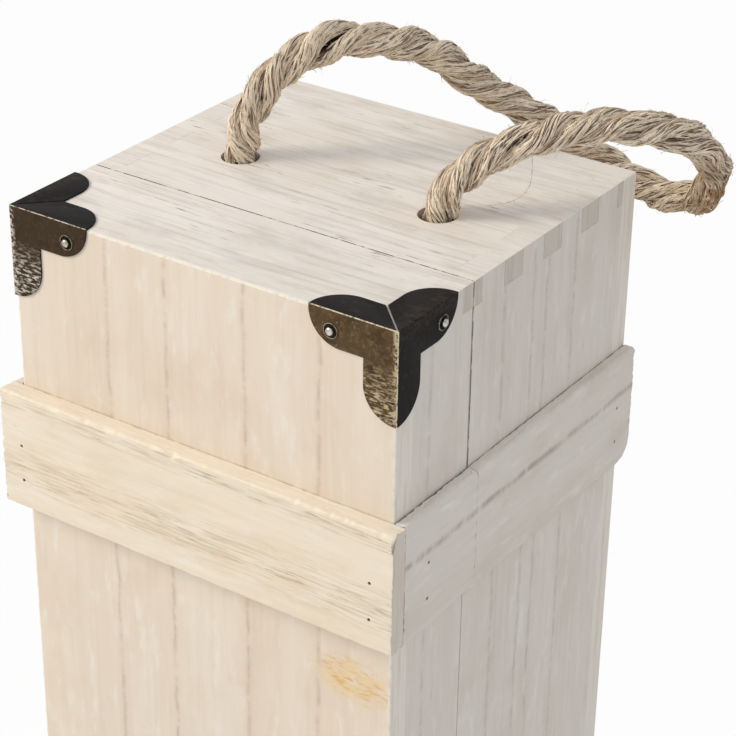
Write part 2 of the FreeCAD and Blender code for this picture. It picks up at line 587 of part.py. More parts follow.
# Rope handle: its route is (x, y, height above the top), and its ends stand on the knots under the top
LEFT_ROPE_X, RIGHT_ROPE_X = rope_hole_x
ROPE_ROUTE = [
    (LEFT_ROPE_X, ROPE_HOLES_Y, -BOARD), (LEFT_ROPE_X, ROPE_HOLES_Y, 5.5), (-35.5, 6.5, 21.5), (-28, 13.5, 33),
    (-16.5, 24.5, 41.5), (-5, 36, 39.5), (5, 49, 36), (16.5, 62.5, 21), (31, 77.5, 8), (47, 88.5, -5),
    (63.5, 92, -14), (80.5, 91, -16), (95.5, 85.5, -9), (103, 75.5, 7), (101.5, 62.5, 21.5), (91.5, 48.5, 27.5),
    (76.5, 36.5, 29), (63, 24.5, 26), (49, 11.5, 18.5), (RIGHT_ROPE_X, ROPE_HOLES_Y, 5.5),
    (RIGHT_ROPE_X, ROPE_HOLES_Y, -BOARD),
]
ARC_SHARE = 0.45


def rope_tube(points):
    """A round tube on straight runs joined by tangent arcs, each as large as its two runs allow."""
    edges = []
    radii = []
    start = points[0]
    for before, corner, after in zip(points, points[1:], points[2:]):
        back = (before - corner).normalize()
        ahead = (after - corner).normalize()
        half_turn = (math.pi - back.getAngle(ahead)) / 2
        cut = ARC_SHARE * min(corner.distanceToPoint(before), corner.distanceToPoint(after))
        radius = cut / math.tan(half_turn)
        radii.append(radius)
        arc_start = corner + back * cut
        arc_end = corner + ahead * cut
        inward = (back + ahead).normalize()
        arc_middle = corner + inward * (radius / math.cos(half_turn) - radius)
        edges.append(Part.LineSegment(start, arc_start).toShape())
        edges.append(Part.Arc(arc_start, arc_middle, arc_end).toShape())
        start = arc_end
    edges.append(Part.LineSegment(start, points[-1]).toShape())
    path = Part.Wire(edges)
    profile = Part.Wire(Part.makeCircle(ROPE_RADIUS, points[0], points[1] - points[0]))
    tube = path.makePipeShell([profile], True, False)
    share = tube.Volume / (math.pi * ROPE_RADIUS ** 2 * path.Length)
    print("rope length %.1f, tube volume over section times length %.4f" % (path.Length, share))
    print("rope bend radii", [round(radius, 1) for radius in radii])
    return tube


parts["rope_handle"] = rope_tube([Vector(x, y, CASE_HEIGHT + height) for x, y, height in ROPE_ROUTE])


def rope_knot():
    """The outer shape of a stopper knot with the rope's tail below it, its flat top at the origin."""
    flat = KNOT_RADIUS - KNOT_ROUND
    slope = KNOT_ROUND * math.sqrt(0.5)
    floor = -KNOT_HEIGHT
    outline = [(0, 0), (flat, 0), (KNOT_RADIUS, -KNOT_ROUND), (KNOT_RADIUS, floor + KNOT_ROUND), (flat, floor),
               (ROPE_RADIUS, floor), (ROPE_RADIUS, floor - KNOT_TAIL), (0, floor - KNOT_TAIL)]
    corners = [Vector(radius, 0, height) for radius, height in outline]
    edges = [Part.makeLine(start, end) for start, end in zip(corners, corners[1:] + corners[:1])]
    upper_middle = Vector(flat + slope, 0, slope - KNOT_ROUND)
    lower_middle = Vector(flat + slope, 0, floor + KNOT_ROUND - slope)
    edges[1] = Part.Arc(corners[1], upper_middle, corners[2]).toShape()
    edges[3] = Part.Arc(corners[3], lower_middle, corners[4]).toShape()
    return Part.Face(Part.Wire(edges)).revolve(Vector(), AXIS_Z, 360)


for side, x in (("left", LEFT_ROPE_X), ("right", RIGHT_ROPE_X)):
    parts["rope_knot_" + side] = placed(rope_knot(), Vector(x, ROPE_HOLES_Y, TOP_INSIDE_Z), AXIS_Z)

# Fastener holes go through every wooden piece that they reach
WOOD_WORDS = ("panel", "board", "band")
for name in parts:
    if name.endswith("_brads") or not any(word in name for word in WOOD_WORDS):
        continue
    parts[name] = drilled(parts[name], holes)

os.makedirs("parts", exist_ok=True)
for name, shape in parts.items():
    shape.exportStep(os.path.join("parts", name + ".step"))
    print(name, "solids", len(shape.Solids), "valid", shape.isValid(), "volume %.1f" % shape.Volume)
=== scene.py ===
# %% [markdown]
# A hurricane candle lantern in whitewashed wood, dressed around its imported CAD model.
# The model is loaded first and stays where it is. Every piece below is made in the same
# frame, in metres, and says which CAD nodes it stands for and which body carries it.

# %% Load the frame
import json
import math
import random

import bmesh
import bpy
import numpy as np
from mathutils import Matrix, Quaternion, Vector, noise

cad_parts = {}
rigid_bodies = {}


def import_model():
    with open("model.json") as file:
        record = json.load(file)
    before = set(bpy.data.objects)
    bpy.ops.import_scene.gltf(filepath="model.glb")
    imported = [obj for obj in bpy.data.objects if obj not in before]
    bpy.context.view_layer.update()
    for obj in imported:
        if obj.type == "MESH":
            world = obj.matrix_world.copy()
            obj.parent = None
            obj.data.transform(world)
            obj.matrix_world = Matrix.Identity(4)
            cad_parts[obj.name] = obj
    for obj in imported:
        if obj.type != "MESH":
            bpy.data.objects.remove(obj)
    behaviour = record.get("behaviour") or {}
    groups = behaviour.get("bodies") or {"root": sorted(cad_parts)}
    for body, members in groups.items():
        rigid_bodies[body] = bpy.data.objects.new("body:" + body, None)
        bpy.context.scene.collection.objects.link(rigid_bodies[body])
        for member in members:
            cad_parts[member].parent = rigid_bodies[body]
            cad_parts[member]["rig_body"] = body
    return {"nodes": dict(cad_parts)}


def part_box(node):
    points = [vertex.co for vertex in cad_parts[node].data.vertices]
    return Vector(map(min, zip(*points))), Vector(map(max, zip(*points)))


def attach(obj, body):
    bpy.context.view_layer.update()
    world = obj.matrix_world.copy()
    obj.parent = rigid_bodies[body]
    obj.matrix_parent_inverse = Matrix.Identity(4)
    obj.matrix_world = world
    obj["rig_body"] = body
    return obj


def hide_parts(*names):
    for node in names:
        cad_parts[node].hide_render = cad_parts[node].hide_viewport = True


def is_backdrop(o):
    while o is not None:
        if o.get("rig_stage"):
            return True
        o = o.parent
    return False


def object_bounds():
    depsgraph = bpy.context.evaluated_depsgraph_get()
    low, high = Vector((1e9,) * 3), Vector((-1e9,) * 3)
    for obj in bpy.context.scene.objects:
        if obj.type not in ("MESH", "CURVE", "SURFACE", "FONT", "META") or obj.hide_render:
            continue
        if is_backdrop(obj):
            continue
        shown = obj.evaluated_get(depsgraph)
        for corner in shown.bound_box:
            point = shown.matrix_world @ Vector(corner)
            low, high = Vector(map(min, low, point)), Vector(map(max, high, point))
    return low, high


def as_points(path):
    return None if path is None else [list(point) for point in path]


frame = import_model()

MM = 0.001
AXES = (Vector((1, 0, 0)), Vector((0, 1, 0)), Vector((0, 0, 1)))
scene = bpy.context.scene
scene.view_settings.view_transform = "Standard"
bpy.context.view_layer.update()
FRONT_LOW, FRONT_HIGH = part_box("front_panel")
TOP_Z = FRONT_HIGH.z
BACK_LOW, BACK_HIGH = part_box("back_panel")
CASE_BOX = (Vector((FRONT_LOW.x, FRONT_LOW.y, 0)), Vector((BACK_HIGH.x, BACK_HIGH.y, TOP_Z)))

# %% [markdown]
# The camera comes first.
# Its place, lens and roll were worked out from the corners of the box in the picture:
# a long lens close above the right front corner, looking down on the lid.

# %% Camera at the photograph's viewpoint
CAMERA_PLACE = Vector((398.69, -565.57, 788.83)) * MM
CAMERA_AZIMUTH, CAMERA_DROP, CAMERA_ROLL = (math.radians(a) for a in (34.09, 28.515, 0.851))
LENS, SENSOR = 112.36, 36.0
NEAREST, FURTHEST = 0.05, 20


def stand_at(name, data, place, turn):
    """A linked object for a camera or a lamp, at a place and turned by a quaternion."""
    made = bpy.data.objects.new(name, data)
    scene.collection.objects.link(made)
    made.location = place
    made.rotation_mode = "QUATERNION"
    made.rotation_quaternion = turn
    return made


look = Vector((-math.sin(CAMERA_AZIMUTH) * math.cos(CAMERA_DROP),
               math.cos(CAMERA_AZIMUTH) * math.cos(CAMERA_DROP), -math.sin(CAMERA_DROP)))
camera_data = bpy.data.cameras.new("photo_camera")
camera_data.lens, camera_data.sensor_width = LENS, SENSOR
camera_data.clip_start, camera_data.clip_end = NEAREST, FURTHEST
scene.camera = stand_at("photo_camera", camera_data, CAMERA_PLACE,
                        look.to_track_quat("-Z", "Y") @ Quaternion((0, 0, 1), CAMERA_ROLL))
print("camera", [round(v, 4) for v in scene.camera.location], "lens", LENS)

# %% [markdown]
# Two small tools make every material. One turns a web colour into the linear numbers that
# shader sockets want. The other adds a node with its settings and its links, in a shader tree
# and a geometry tree alike.

# %% Colours and nodes
def linear(hex_colour):
    """An sRGB hex colour as linear RGBA."""
    channels = [int(hex_colour[i:i + 2], 16) / 255 for i in (1, 3, 5)]
    return tuple(c / 12.92 if c <= 0.04045 else ((c + 0.055) / 1.055) ** 2.4 for c in channels) + (1.0,)


def add_node(tree, kind, inputs=None, stops=(), **settings):
    """A new node with its settings, its links and the stops of its colour ramp.

    An input is a value, a hex colour, a socket, or a node, which gives its first live output.
    """
    made = tree.nodes.new(kind)
    for name, value in settings.items():
        setattr(made, name, value)
    for name, value in (inputs or {}).items():
        named = [socket for socket in made.inputs if socket.enabled and socket.name == name]
        socket = named[0] if named else made.inputs[name]
        if isinstance(value, bpy.types.Node):
            value = next(output for output in value.outputs if output.enabled)
        if isinstance(value, bpy.types.NodeSocket):
            tree.links.new(value, socket)
        elif isinstance(value, str) and value.startswith("#"):
            socket.default_value = linear(value)
        else:
            socket.default_value = value
    while stops and len(made.color_ramp.elements) < len(stops):
        made.color_ramp.elements.new(1.0)
    for i, (position, level) in enumerate(stops):
        made.color_ramp.elements[i].position = position
        made.color_ramp.elements[i].color = (level, level, level, 1.0)
    return made


print("a mid grey is", round(linear("#808080")[0], 3), "in linear light")

# %% [markdown]
# A finish is a plain colour with other colours laid over it. Most layers show where a noise
# pattern rises above a level, and the pattern's feature sizes are given in millimetres along X,
# Y and Z. So grain is noise stretched along a board, and grit is noise of one size. A picture of
# wood could be wrapped round each board instead, but noise has no seams, and its size is known.
# A few layers just have a share. The light and dark of the finished colour also press a fine
# relief into the surface.

# %% Layered finishes
def new_material(name, base, roughness, metallic=0.0):
    """A material, its node tree, its shader and a point on the object for the patterns."""
    material = bpy.data.materials.new(name)
    material.use_nodes = True
    material.diffuse_color = linear(base)
    tree = material.node_tree
    shader = tree.nodes["Principled BSDF"]
    shader.inputs["Base Color"].default_value = linear(base)
    shader.inputs["Roughness"].default_value = roughness
    shader.inputs["Metallic"].default_value = metallic
    return material, tree, shader, add_node(tree, "ShaderNodeTexCoord").outputs["Object"]


def mask(tree, at, sizes_mm, start, full, most=1.0, offset=(0, 0, 0)):
    """From 0 to `most` where noise with features of these sizes goes from start to full."""
    placed = add_node(tree, "ShaderNodeMapping", {
        "Vector": at, "Location": offset, "Scale": [1 / (size * MM) for size in sizes_mm]})
    grain = add_node(tree, "ShaderNodeTexNoise", {
        "Vector": placed, "Scale": 1.0, "Detail": 4.0, "Roughness": 0.6})
    return add_node(tree, "ShaderNodeMapRange", {
        "Value": grain, "From Min": start, "From Max": full, "To Max": most})


def layered(tree, at, colour, *layers, offset=(0, 0, 0)):
    """Colours over one another.

    A layer is (colour, share) or (colour, sizes in mm, noise start, noise full, most).
    """
    for over, *how in layers:
        shown = mask(tree, at, *how, offset) if how[1:] else how[0]
        colour = add_node(tree, "ShaderNodeMix", {"Factor": shown, "A": colour, "B": over}, data_type="RGBA")
    return colour


def finish_with(tree, shader, colour, relief_mm, strength=0.5):
    """The colour goes to the shader, and its tones become the relief."""
    bump = add_node(tree, "ShaderNodeBump", {"Height": colour.outputs[2], "Strength": strength,
                                             "Distance": relief_mm * MM})
    tree.links.new(colour.outputs[2], shader.inputs["Base Color"])
    tree.links.new(bump.outputs[0], shader.inputs["Normal"])


print("finish tools ready")

# %% [markdown]
# Most shapes are skins over rows of rings: rope strands, battens, nail heads and the candle. A
# finished shape becomes an object at the origin. It then rides on the body of the CAD nodes
# that it stands for.

# %% Skins and pieces
BOARD_ANGLE, SHEET_ANGLE, TRIM_ANGLE, HEAD_ANGLE, ROPE_ANGLE, FIBRE_ANGLE = 20, 22, 35, 40, 60, 80


def turns(count):
    """The angles that divide a full turn."""
    return [2 * math.pi * k / count for k in range(count)]


def outward(turn):
    """The level direction at an angle."""
    return Vector((math.cos(turn), math.sin(turn), 0))


def skin(work, rings):
    """Faces over rings of points that all have the same count, closed round and at both ends."""
    rows = [[work.verts.new(point) for point in ring] for ring in rings]
    count = len(rows[0])
    for here, ahead in zip(rows, rows[1:]):
        for i in range(count):
            work.faces.new((here[i], here[(i + 1) % count], ahead[(i + 1) % count], ahead[i]))
    work.faces.new(rows[0][::-1])
    work.faces.new(rows[-1])
    return rows


def piece_of_mesh(mesh, name, material, smooth_angle=30):
    """A mesh as a linked object with one material, smooth below an angle and sharp above it."""
    mesh.materials.clear()
    mesh.materials.append(material)
    mesh.polygons.foreach_set("use_smooth", [True] * len(mesh.polygons))
    mesh.set_sharp_from_angle(angle=math.radians(smooth_angle))
    piece = bpy.data.objects.new(name, mesh)
    scene.collection.objects.link(piece)
    return piece


def piece_from(work, name, material, smooth_angle=30):
    """The finished bmesh as an object."""
    bmesh.ops.recalc_face_normals(work, faces=work.faces)
    mesh = bpy.data.meshes.new(name)
    work.to_mesh(mesh)
    work.free()
    return piece_of_mesh(mesh, name, material, smooth_angle)


def stand_for(piece, slot, *nodes):
    """The piece rides on the body of the CAD nodes that it replaces."""
    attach(piece, frame["nodes"][nodes[0]]["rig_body"])
    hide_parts(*nodes)
    return piece


# %% [markdown]
# The handle is a three-strand rope of natural jute: pale wisps of fibre over a core whose dark
# brown is painted shade. An attribute gives each wisp its tone, and the core has none, so it takes
# that dark colour. Another attribute darkens the inner side of each strand, which faces the rope's
# middle, as painted shade. Fine streaks follow the strand, so they read the UV map: one direction
# runs round it and the other along it. The rope is browner at the end of the bight that hangs over
# the corner.

# %% Jute
jute, tree, shader, at = new_material("natural_jute_rope", "#DCC9AC", 0.9)
strand_uv = add_node(tree, "ShaderNodeUVMap", uv_map="strand")
tones = add_node(tree, "ShaderNodeAttribute", attribute_name="tone").outputs["Fac"]
inner_shades = add_node(tree, "ShaderNodeAttribute", attribute_name="inner_shade").outputs["Fac"]
place = add_node(tree, "ShaderNodeSeparateXYZ", {"Vector": at})
hanging = add_node(tree, "ShaderNodeMapRange", {
    "Value": place.outputs["Z"], "From Min": TOP_Z + 20 * MM, "From Max": TOP_Z + 2 * MM, "To Max": 0.9})
golden = add_node(tree, "ShaderNodeMapRange", {
    "Value": place.outputs["X"], "From Min": 76 * MM, "From Max": 100 * MM, "To Max": hanging})
# The core, whose tone is zero, takes the dark brown as painted shade under the wisps.
straw = layered(tree, at, "#7D5B3A", ("#FFEBCF", tones))
straw = layered(tree, strand_uv, straw,
                ("#FFF3DF", (0.3, 5.0, 1.0), 0.46, 0.60, 0.8),
                ("#4A2F1A", (0.3, 3.0, 1.0), 0.44, 0.37, 0.9))
# The last layer darkens the inner side of each strand as painted shade.
straw = layered(tree, at, straw, ("#946B38", (8, 8, 8), 0.30, 0.60, golden), ("#2C1E13", inner_shades))
finish_with(tree, shader, straw, 0.3, strength=0.6)
print("material", jute.name)

# %% [markdown]
# The rope leaves the lid at the left hole, arches back, hangs over the rear right corner in
# a tight bight, and comes back to the right hole. One NURBS spline along the route's points gives
# the smooth line, and Blender turns that curve into a row of points.

# %% Rope centreline
ROPE_DIAMETER = 11.8 * MM
ROPE_ROUTE = [
    (-39.8, 3.4, -9), (-39.8, 3.4, 5.5), (-35.5, 6.5, 21.5), (-28, 13.5, 33), (-16.5, 24.5, 41.5),
    (-5, 36, 39.5), (5, 49, 36), (16.5, 62.5, 21), (31, 77.5, 8), (47, 88.5, -5), (63.5, 92, -14),
    (80.5, 91, -16), (95.5, 85.5, -9), (103, 75.5, 7), (101.5, 62.5, 21.5), (91.5, 48.5, 27.5),
    (76.5, 36.5, 29), (63, 24.5, 26), (49, 11.5, 18.5), (39.8, 3.4, 5.5), (39.8, 3.4, -9),
]


def above_lid(route_mm):
    """Route points in millimetres, with heights over the lid, as points in the frame."""
    return [Vector((x * MM, y * MM, TOP_Z + height * MM)) for x, y, height in route_mm]


def spline_points(route, resolution):
    """The points that Blender gives for a NURBS curve with these control points and no bevel."""
    curve = bpy.data.curves.new("route", "CURVE")
    curve.dimensions = "3D"
    curve.resolution_u = resolution
    spline = curve.splines.new("NURBS")
    spline.points.add(len(route) - 1)
    for control, point in zip(spline.points, route):
        control.co = (*point, 1.0)
    spline.order_u = 3
    spline.use_endpoint_u = True
    holder = bpy.data.objects.new("route", curve)
    scene.collection.objects.link(holder)
    mesh = bpy.data.meshes.new_from_object(holder)
    points = [vertex.co.copy() for vertex in mesh.vertices]
    bpy.data.objects.remove(holder)
    bpy.data.meshes.remove(mesh)
    return points


def turning_frames(points):
    """For each point: arc length so far, tangent, and two directions across that do not twist."""
    tangents = [(b - a).normalized() for a, b in zip([points[0]] + points[:-1], points[1:] + [points[-1]])]
    across = tangents[0].orthogonal().normalized()
    arc, rows = 0.0, []
    for i, (point, tangent) in enumerate(zip(points, tangents)):
        if i:
            arc += (point - points[i - 1]).length
            across = tangents[i - 1].rotation_difference(tangent) @ across
        across = (across - tangent * across.dot(tangent)).normalized()
        rows.append((arc, tangent, across, tangent.cross(across)))
    return rows


rope_line = spline_points(above_lid(ROPE_ROUTE), 24)
print("rope line", len(rope_line), "points,", round(turning_frames(rope_line)[-1][0] / MM, 1), "mm long")

# %% [markdown]
# Each of the three strands winds round that line, left-handed, once in 42 mm. Its core is uneven,
# and hundreds of wisps lie on it: flat bundles of fibre that follow the strand, drift a little to
# one side, and taper at both ends. A striped tube would be simpler, but only real strands give the
# rope its lumpy outline. Near the top of the arch the lay has opened, which leaves a dark gap there
# in the photograph. In the bight the rope has lost one turn, so there the strands run round the
# bend side by side. Each vertex keeps its tone and the way along the strand.

# %% Rope strands
ROPE_LAY = 42 * MM
STRAND_OFFSET, STRAND_RADIUS = 0.255, 0.225
SWAY, SWAY_LENGTH = 0.7, 14 * MM
OPEN_AT, OPEN_REACH, OPEN_BY = 60 * MM, 8 * MM, 0.3
BIGHT_AT, BIGHT_REACH = 231 * MM, 25 * MM
CORE_SIDES, CORE_SHARE = 18, 0.95
CORE_SWELL, SWELL_LENGTH = 0.1, 9 * MM
CORE_ROUGH, ROUGH_LENGTH, ROUGH_ROUND = 0.12, 2.5 * MM, 2.5
# How fast the painted shade on the inner side of a strand rises, and how dark it gets at most.
INNER_SHADE_RISE, INNER_SHADE_MOST = 1.2, 0.9


def strand_line(points, strand, diameter, seed, used):
    """For each point of the rope's line: the strand's centre, three directions, and the arc length."""
    frames = turning_frames(points)
    centres, outwards = [], []
    for point, (arc, tangent, across, over) in zip(points, frames):
        sway = SWAY * noise.noise(Vector((arc / SWAY_LENGTH, seed, strand * 4.0)))
        lost = used * 0.5 * (1 + math.tanh((arc - BIGHT_AT) / BIGHT_REACH))
        turn = 2 * math.pi * (strand / 3 - arc / ROPE_LAY + lost) + sway
        outwards.append(across * math.cos(turn) + over * math.sin(turn))
        spread = 1 + used * OPEN_BY * math.exp(-((arc - OPEN_AT) / OPEN_REACH) ** 2)
        centres.append(point + outwards[-1] * STRAND_OFFSET * diameter * spread)
    line = []
    for i, (centre, away) in enumerate(zip(centres, outwards)):
        along = (centres[min(i + 1, len(centres) - 1)] - centres[max(i - 1, 0)]).normalized()
        out = (away - along * away.dot(along)).normalized()
        line.append((centre, along, out, along.cross(out), frames[i][0]))
    return line


def core_ring(centre, out, side, arc, radius, seed):
    """One uneven ring of a strand's core, and how much painted shade each of its points gets on the half that
    faces the rope's middle.
    """
    swell = noise.noise(Vector((arc / SWELL_LENGTH, seed, 3)))
    ring, depths = [], []
    for toward in map(outward, turns(CORE_SIDES)):
        rough = noise.noise(toward * ROUGH_ROUND + Vector((0, 0, arc / ROUGH_LENGTH + seed)))
        ring.append(centre + (out * toward.x + side * toward.y)
                    * radius * (CORE_SHARE + CORE_ROUGH * rough + CORE_SWELL * swell))
        depths.append(max(0.0, -INNER_SHADE_RISE * toward.x))
    return ring, depths


print("strands wind once in", ROPE_LAY / MM, "mm")

# %% Wisps on the strands
WISPS_PER_MM, WISP_SIDES, WISP_STRIDE = 2.6, 3, 2
WISP_ROWS, WISP_TONES, WISP_GIRTH = (4, 11), (0.75, 1.0), 3 * MM
WISP_SPREAD, WISP_DRIFT = 2.2, 1.2
WISP_WIDTHS_MM, WISP_LIFTS_MM, WISP_THICK = (0.2, 0.7), (0.0, 0.5), 0.35 * MM


def wisp_rings(part, radius, chance):
    """Rings of one wisp on this part of a strand, flat on its surface and thin at both ends."""
    angle = chance.uniform(-WISP_SPREAD, WISP_SPREAD)
    drift = chance.uniform(-WISP_DRIFT, WISP_DRIFT)
    width, lift = chance.uniform(*WISP_WIDTHS_MM) * MM, chance.uniform(*WISP_LIFTS_MM) * MM
    rings = []
    for i, (centre, along, out, side, arc) in enumerate(part):
        share = (i + 0.3) / (len(part) - 0.4)
        swell = math.sqrt(math.sin(math.pi * share))
        around = angle + drift * (share - 0.5)
        normal = out * math.cos(around) + side * math.sin(around)
        middle = centre + normal * (radius + (WISP_THICK + lift) * swell - WISP_THICK)
        rings.append([middle + (along.cross(normal) * width * math.cos(turn)
                                + normal * WISP_THICK * math.sin(turn)) * swell
                      for turn in turns(WISP_SIDES)])
    return rings


print("wisps lie", WISPS_PER_MM, "to the millimetre on each strand")


# %% The handle's rope
def laid_rope(work, points, diameter, seed, used=0.0):
    """Three strands with their wisps round a line, a UV map in metres and marks for each vertex.

    used is 1 for the handle, whose lay has opened and lost a turn, and 0 for rope as it was made.
    """
    uv_layer = work.loops.layers.uv.new("strand")
    inner_shade, tone = work.verts.layers.float.new("inner_shade"), work.verts.layers.float.new("tone")
    way = work.verts.layers.float_vector.new("along")
    radius = STRAND_RADIUS * diameter
    chance = random.Random(seed)

    def add_skin(part, rings, level, girth, depths=None):
        shift = chance.uniform(0, 0.2)
        for i, row in enumerate(skin(work, rings)):
            for k, vertex in enumerate(row):
                vertex[inner_shade] = min(INNER_SHADE_MOST, depths[i][k]) if depths else 0.0
                vertex[tone], vertex[way] = level, part[i][1]
                for loop in vertex.link_loops:
                    closing = k == 0 and row[-1] in loop.face.verts
                    share = 1.0 if closing else k / len(row)
                    loop[uv_layer].uv = (girth * share + shift, part[i][4])

    for strand in range(3):
        line = strand_line(points, strand, diameter, seed, used)
        made = [core_ring(centre, out, side, arc, radius, seed + 5 * strand)
                for centre, along, out, side, arc in line]
        rings, depths = zip(*made)
        add_skin(line, rings, 0.0, 2 * math.pi * radius, depths)
        for _ in range(round(WISPS_PER_MM * line[-1][4] / MM)):
            rows = chance.randrange(*WISP_ROWS)
            start = chance.randrange(len(line) - WISP_STRIDE * rows)
            part = line[start:start + WISP_STRIDE * rows:WISP_STRIDE]
            add_skin(part, wisp_rings(part, radius, chance), chance.uniform(*WISP_TONES), WISP_GIRTH)


work = bmesh.new()
laid_rope(work, rope_line, ROPE_DIAMETER, seed=1, used=1.0)
rope = piece_from(work, "jute_rope_handle", jute, ROPE_ANGLE)
stand_for(rope, "jute_rope", "rope_handle")
print("rope", len(rope.data.polygons), "faces")

# %% [markdown]
# Under the lid each end is tied in a stopper knot, so the rope cannot pull out. A knot's
# visible outside is nearly two turns of rope round its own standing part and a short tail.
# The same three-strand rope is laid along that line.

# %% Stopper knots
KNOT_TURN_RADIUS = 10.6 * MM
KNOT_ROPE = 9.6 * MM
KNOT_STEPS, KNOT_TURNS, KNOT_TOP_MM, KNOT_HEIGHT_MM = 22, 1.75, 6.5, 16.0


def knot_route(top):
    """From the hole out to the first turn, down two turns, and in again to the tail."""
    points = [top + Vector((0, 0, -1)) * MM, top + Vector((2.5, 0, -4.5)) * MM]
    for step in range(KNOT_STEPS + 1):
        turn = 2 * math.pi * KNOT_TURNS * step / KNOT_STEPS
        drop = (KNOT_TOP_MM + KNOT_HEIGHT_MM * step / KNOT_STEPS) * MM
        points.append(top + outward(turn) * KNOT_TURN_RADIUS - AXES[2] * drop)
    return points + [top + Vector((1.5, -3.0, -28.5)) * MM, top + Vector((0, 0, -34)) * MM,
                     top + Vector((0, 0, -41.5)) * MM]


for seed, side in enumerate(("left", "right")):
    low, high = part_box("rope_knot_" + side)
    knot_top = Vector(((low.x + high.x) / 2, (low.y + high.y) / 2, high.z))
    work = bmesh.new()
    laid_rope(work, spline_points(knot_route(knot_top), 8), KNOT_ROPE, seed=20 + seed)
    knot = piece_from(work, "stopper_knot_" + side, jute, ROPE_ANGLE)
    stand_for(knot, "jute_rope", "rope_knot_" + side)

# %% [markdown]
# Jute is hairy. Short fibres cross the wisps, and a few loose ends stand off. One tree of Geometry
# Nodes scatters them: points on the strands, a bent hair on each, turned along the strand and
# then a little aside and up. Its named inputs make the two kinds. Every tree here ends in the same
# nodes: instances on points, made real and given their material.

# %% Geometry Nodes tools
def geometry_tree(name, **sockets):
    """A geometry node tree with a mesh in and out and named inputs of the given kinds."""
    made = bpy.data.node_groups.new(name, "GeometryNodeTree")
    made.interface.new_socket("Geometry", in_out="INPUT", socket_type="NodeSocketGeometry")
    made.interface.new_socket("Geometry", in_out="OUTPUT", socket_type="NodeSocketGeometry")
    for label, kind in sockets.items():
        made.interface.new_socket(label, in_out="INPUT", socket_type="NodeSocket" + kind)
    return made, add_node(made, "NodeGroupInput").outputs, add_node(made, "NodeGroupOutput")


def set_instances(tree, points, shape, rotation, angles, finish, result, **more):
    """Instances on points, turned further by angles of their own, made real, painted and sent out."""
    turn_by = add_node(tree, "FunctionNodeEulerToRotation", {"Euler": angles})
    turned = add_node(tree, "FunctionNodeRotateRotation", {"Rotation": rotation, "Rotate By": turn_by},
                      rotation_space="LOCAL")
    placed = add_node(tree, "GeometryNodeInstanceOnPoints", {
        "Points": points, "Instance": shape, "Rotation": turned, **more})
    real = add_node(tree, "GeometryNodeRealizeInstances", {"Geometry": placed})
    painted = add_node(tree, "GeometryNodeSetMaterial", {"Geometry": real, "Material": finish})
    tree.links.new(painted.outputs[0], result.inputs[0])


def grown(base_mesh, tree, name, **values):
    """Runs a tree on a mesh with its named inputs set, and returns the result as a plain mesh."""
    holder = bpy.data.objects.new(name + "_base", base_mesh)
    scene.collection.objects.link(holder)
    modifier = holder.modifiers.new(tree.name, "NODES")
    modifier.node_group = tree
    identifiers = {item.name: item.identifier for item in tree.interface.items_tree if item.in_out == "INPUT"}
    for label, value in values.items():
        modifier[identifiers[label]] = value
    holder.update_tag()
    bpy.context.view_layer.update()
    mesh = bpy.data.meshes.new_from_object(holder.evaluated_get(bpy.context.evaluated_depsgraph_get()))
    mesh.name = name
    holder.modifiers.remove(modifier)
    bpy.data.objects.remove(holder)
    return mesh


print("tree tools ready")

# %% Fibres on the rope
hair_tree, given, result = geometry_tree("rope_fibres", Length="Float", Radius="Float", Density="Float",
                                         Aside="Float", Lift="Float", Seed="Int", Finish="Material")
scattered = add_node(hair_tree, "GeometryNodeDistributePointsOnFaces", {
    "Mesh": given["Geometry"], "Density": given["Density"], "Seed": given["Seed"]})
hair_line = add_node(hair_tree, "GeometryNodeCurveQuadraticBezier", {
    "Resolution": 4, "Start": (0, 0, -0.03), "Middle": (0.5, 0.03, 0.12), "End": (1.0, 0.1, -0.05)})
hair_radius = add_node(hair_tree, "ShaderNodeMath", {0: given["Radius"], 1: given["Length"]},
                       operation="DIVIDE")
hair_round = add_node(hair_tree, "GeometryNodeCurvePrimitiveCircle", {"Resolution": 3, "Radius": hair_radius})
hair = add_node(hair_tree, "GeometryNodeCurveToMesh", {
    "Curve": hair_line, "Profile Curve": hair_round, "Fill Caps": True})
along = add_node(hair_tree, "GeometryNodeInputNamedAttribute", {"Name": "along"}, data_type="FLOAT_VECTOR")
lying = add_node(hair_tree, "FunctionNodeAlignRotationToVector", {
    "Rotation": scattered.outputs["Rotation"], "Vector": along}, axis="X", pivot_axis="Z")
furthest = add_node(hair_tree, "ShaderNodeCombineXYZ", {"Y": 0.0, "Z": given["Aside"]})
highest = add_node(hair_tree, "ShaderNodeCombineXYZ", {"Y": given["Lift"], "Z": given["Aside"]})
nearest = add_node(hair_tree, "ShaderNodeVectorMath", {0: highest, 1: (-1, -1, -1)}, operation="MULTIPLY")
lean = add_node(hair_tree, "FunctionNodeRandomValue", {
    "Min": nearest, "Max": furthest, "Seed": given["Seed"]}, data_type="FLOAT_VECTOR")
share = add_node(hair_tree, "FunctionNodeRandomValue", {"Min": 0.4, "Max": 1.25, "Seed": given["Seed"]},
                 data_type="FLOAT")
length = add_node(hair_tree, "ShaderNodeMath", {0: share, 1: given["Length"]}, operation="MULTIPLY")
set_instances(hair_tree, scattered, hair, lying, lean, given["Finish"], result, Scale=length)
print("fibre tree", len(hair_tree.nodes), "nodes")

# %% Fibre colours and the rope's fibres
jute_fibre, tree, shader, at = new_material("natural_jute_fibre", "#E2D2B6", 0.85)
fibre = layered(tree, at, "#E9DABF", ("#A98D66", (3, 3, 3), 0.50, 0.38, 0.9),
                ("#FFF8EA", (2, 2, 2), 0.50, 0.64, 0.9), ("#4E3924", (1.2, 1.2, 1.2), 0.42, 0.36, 0.9))
finish_with(tree, shader, fibre, 0.02)

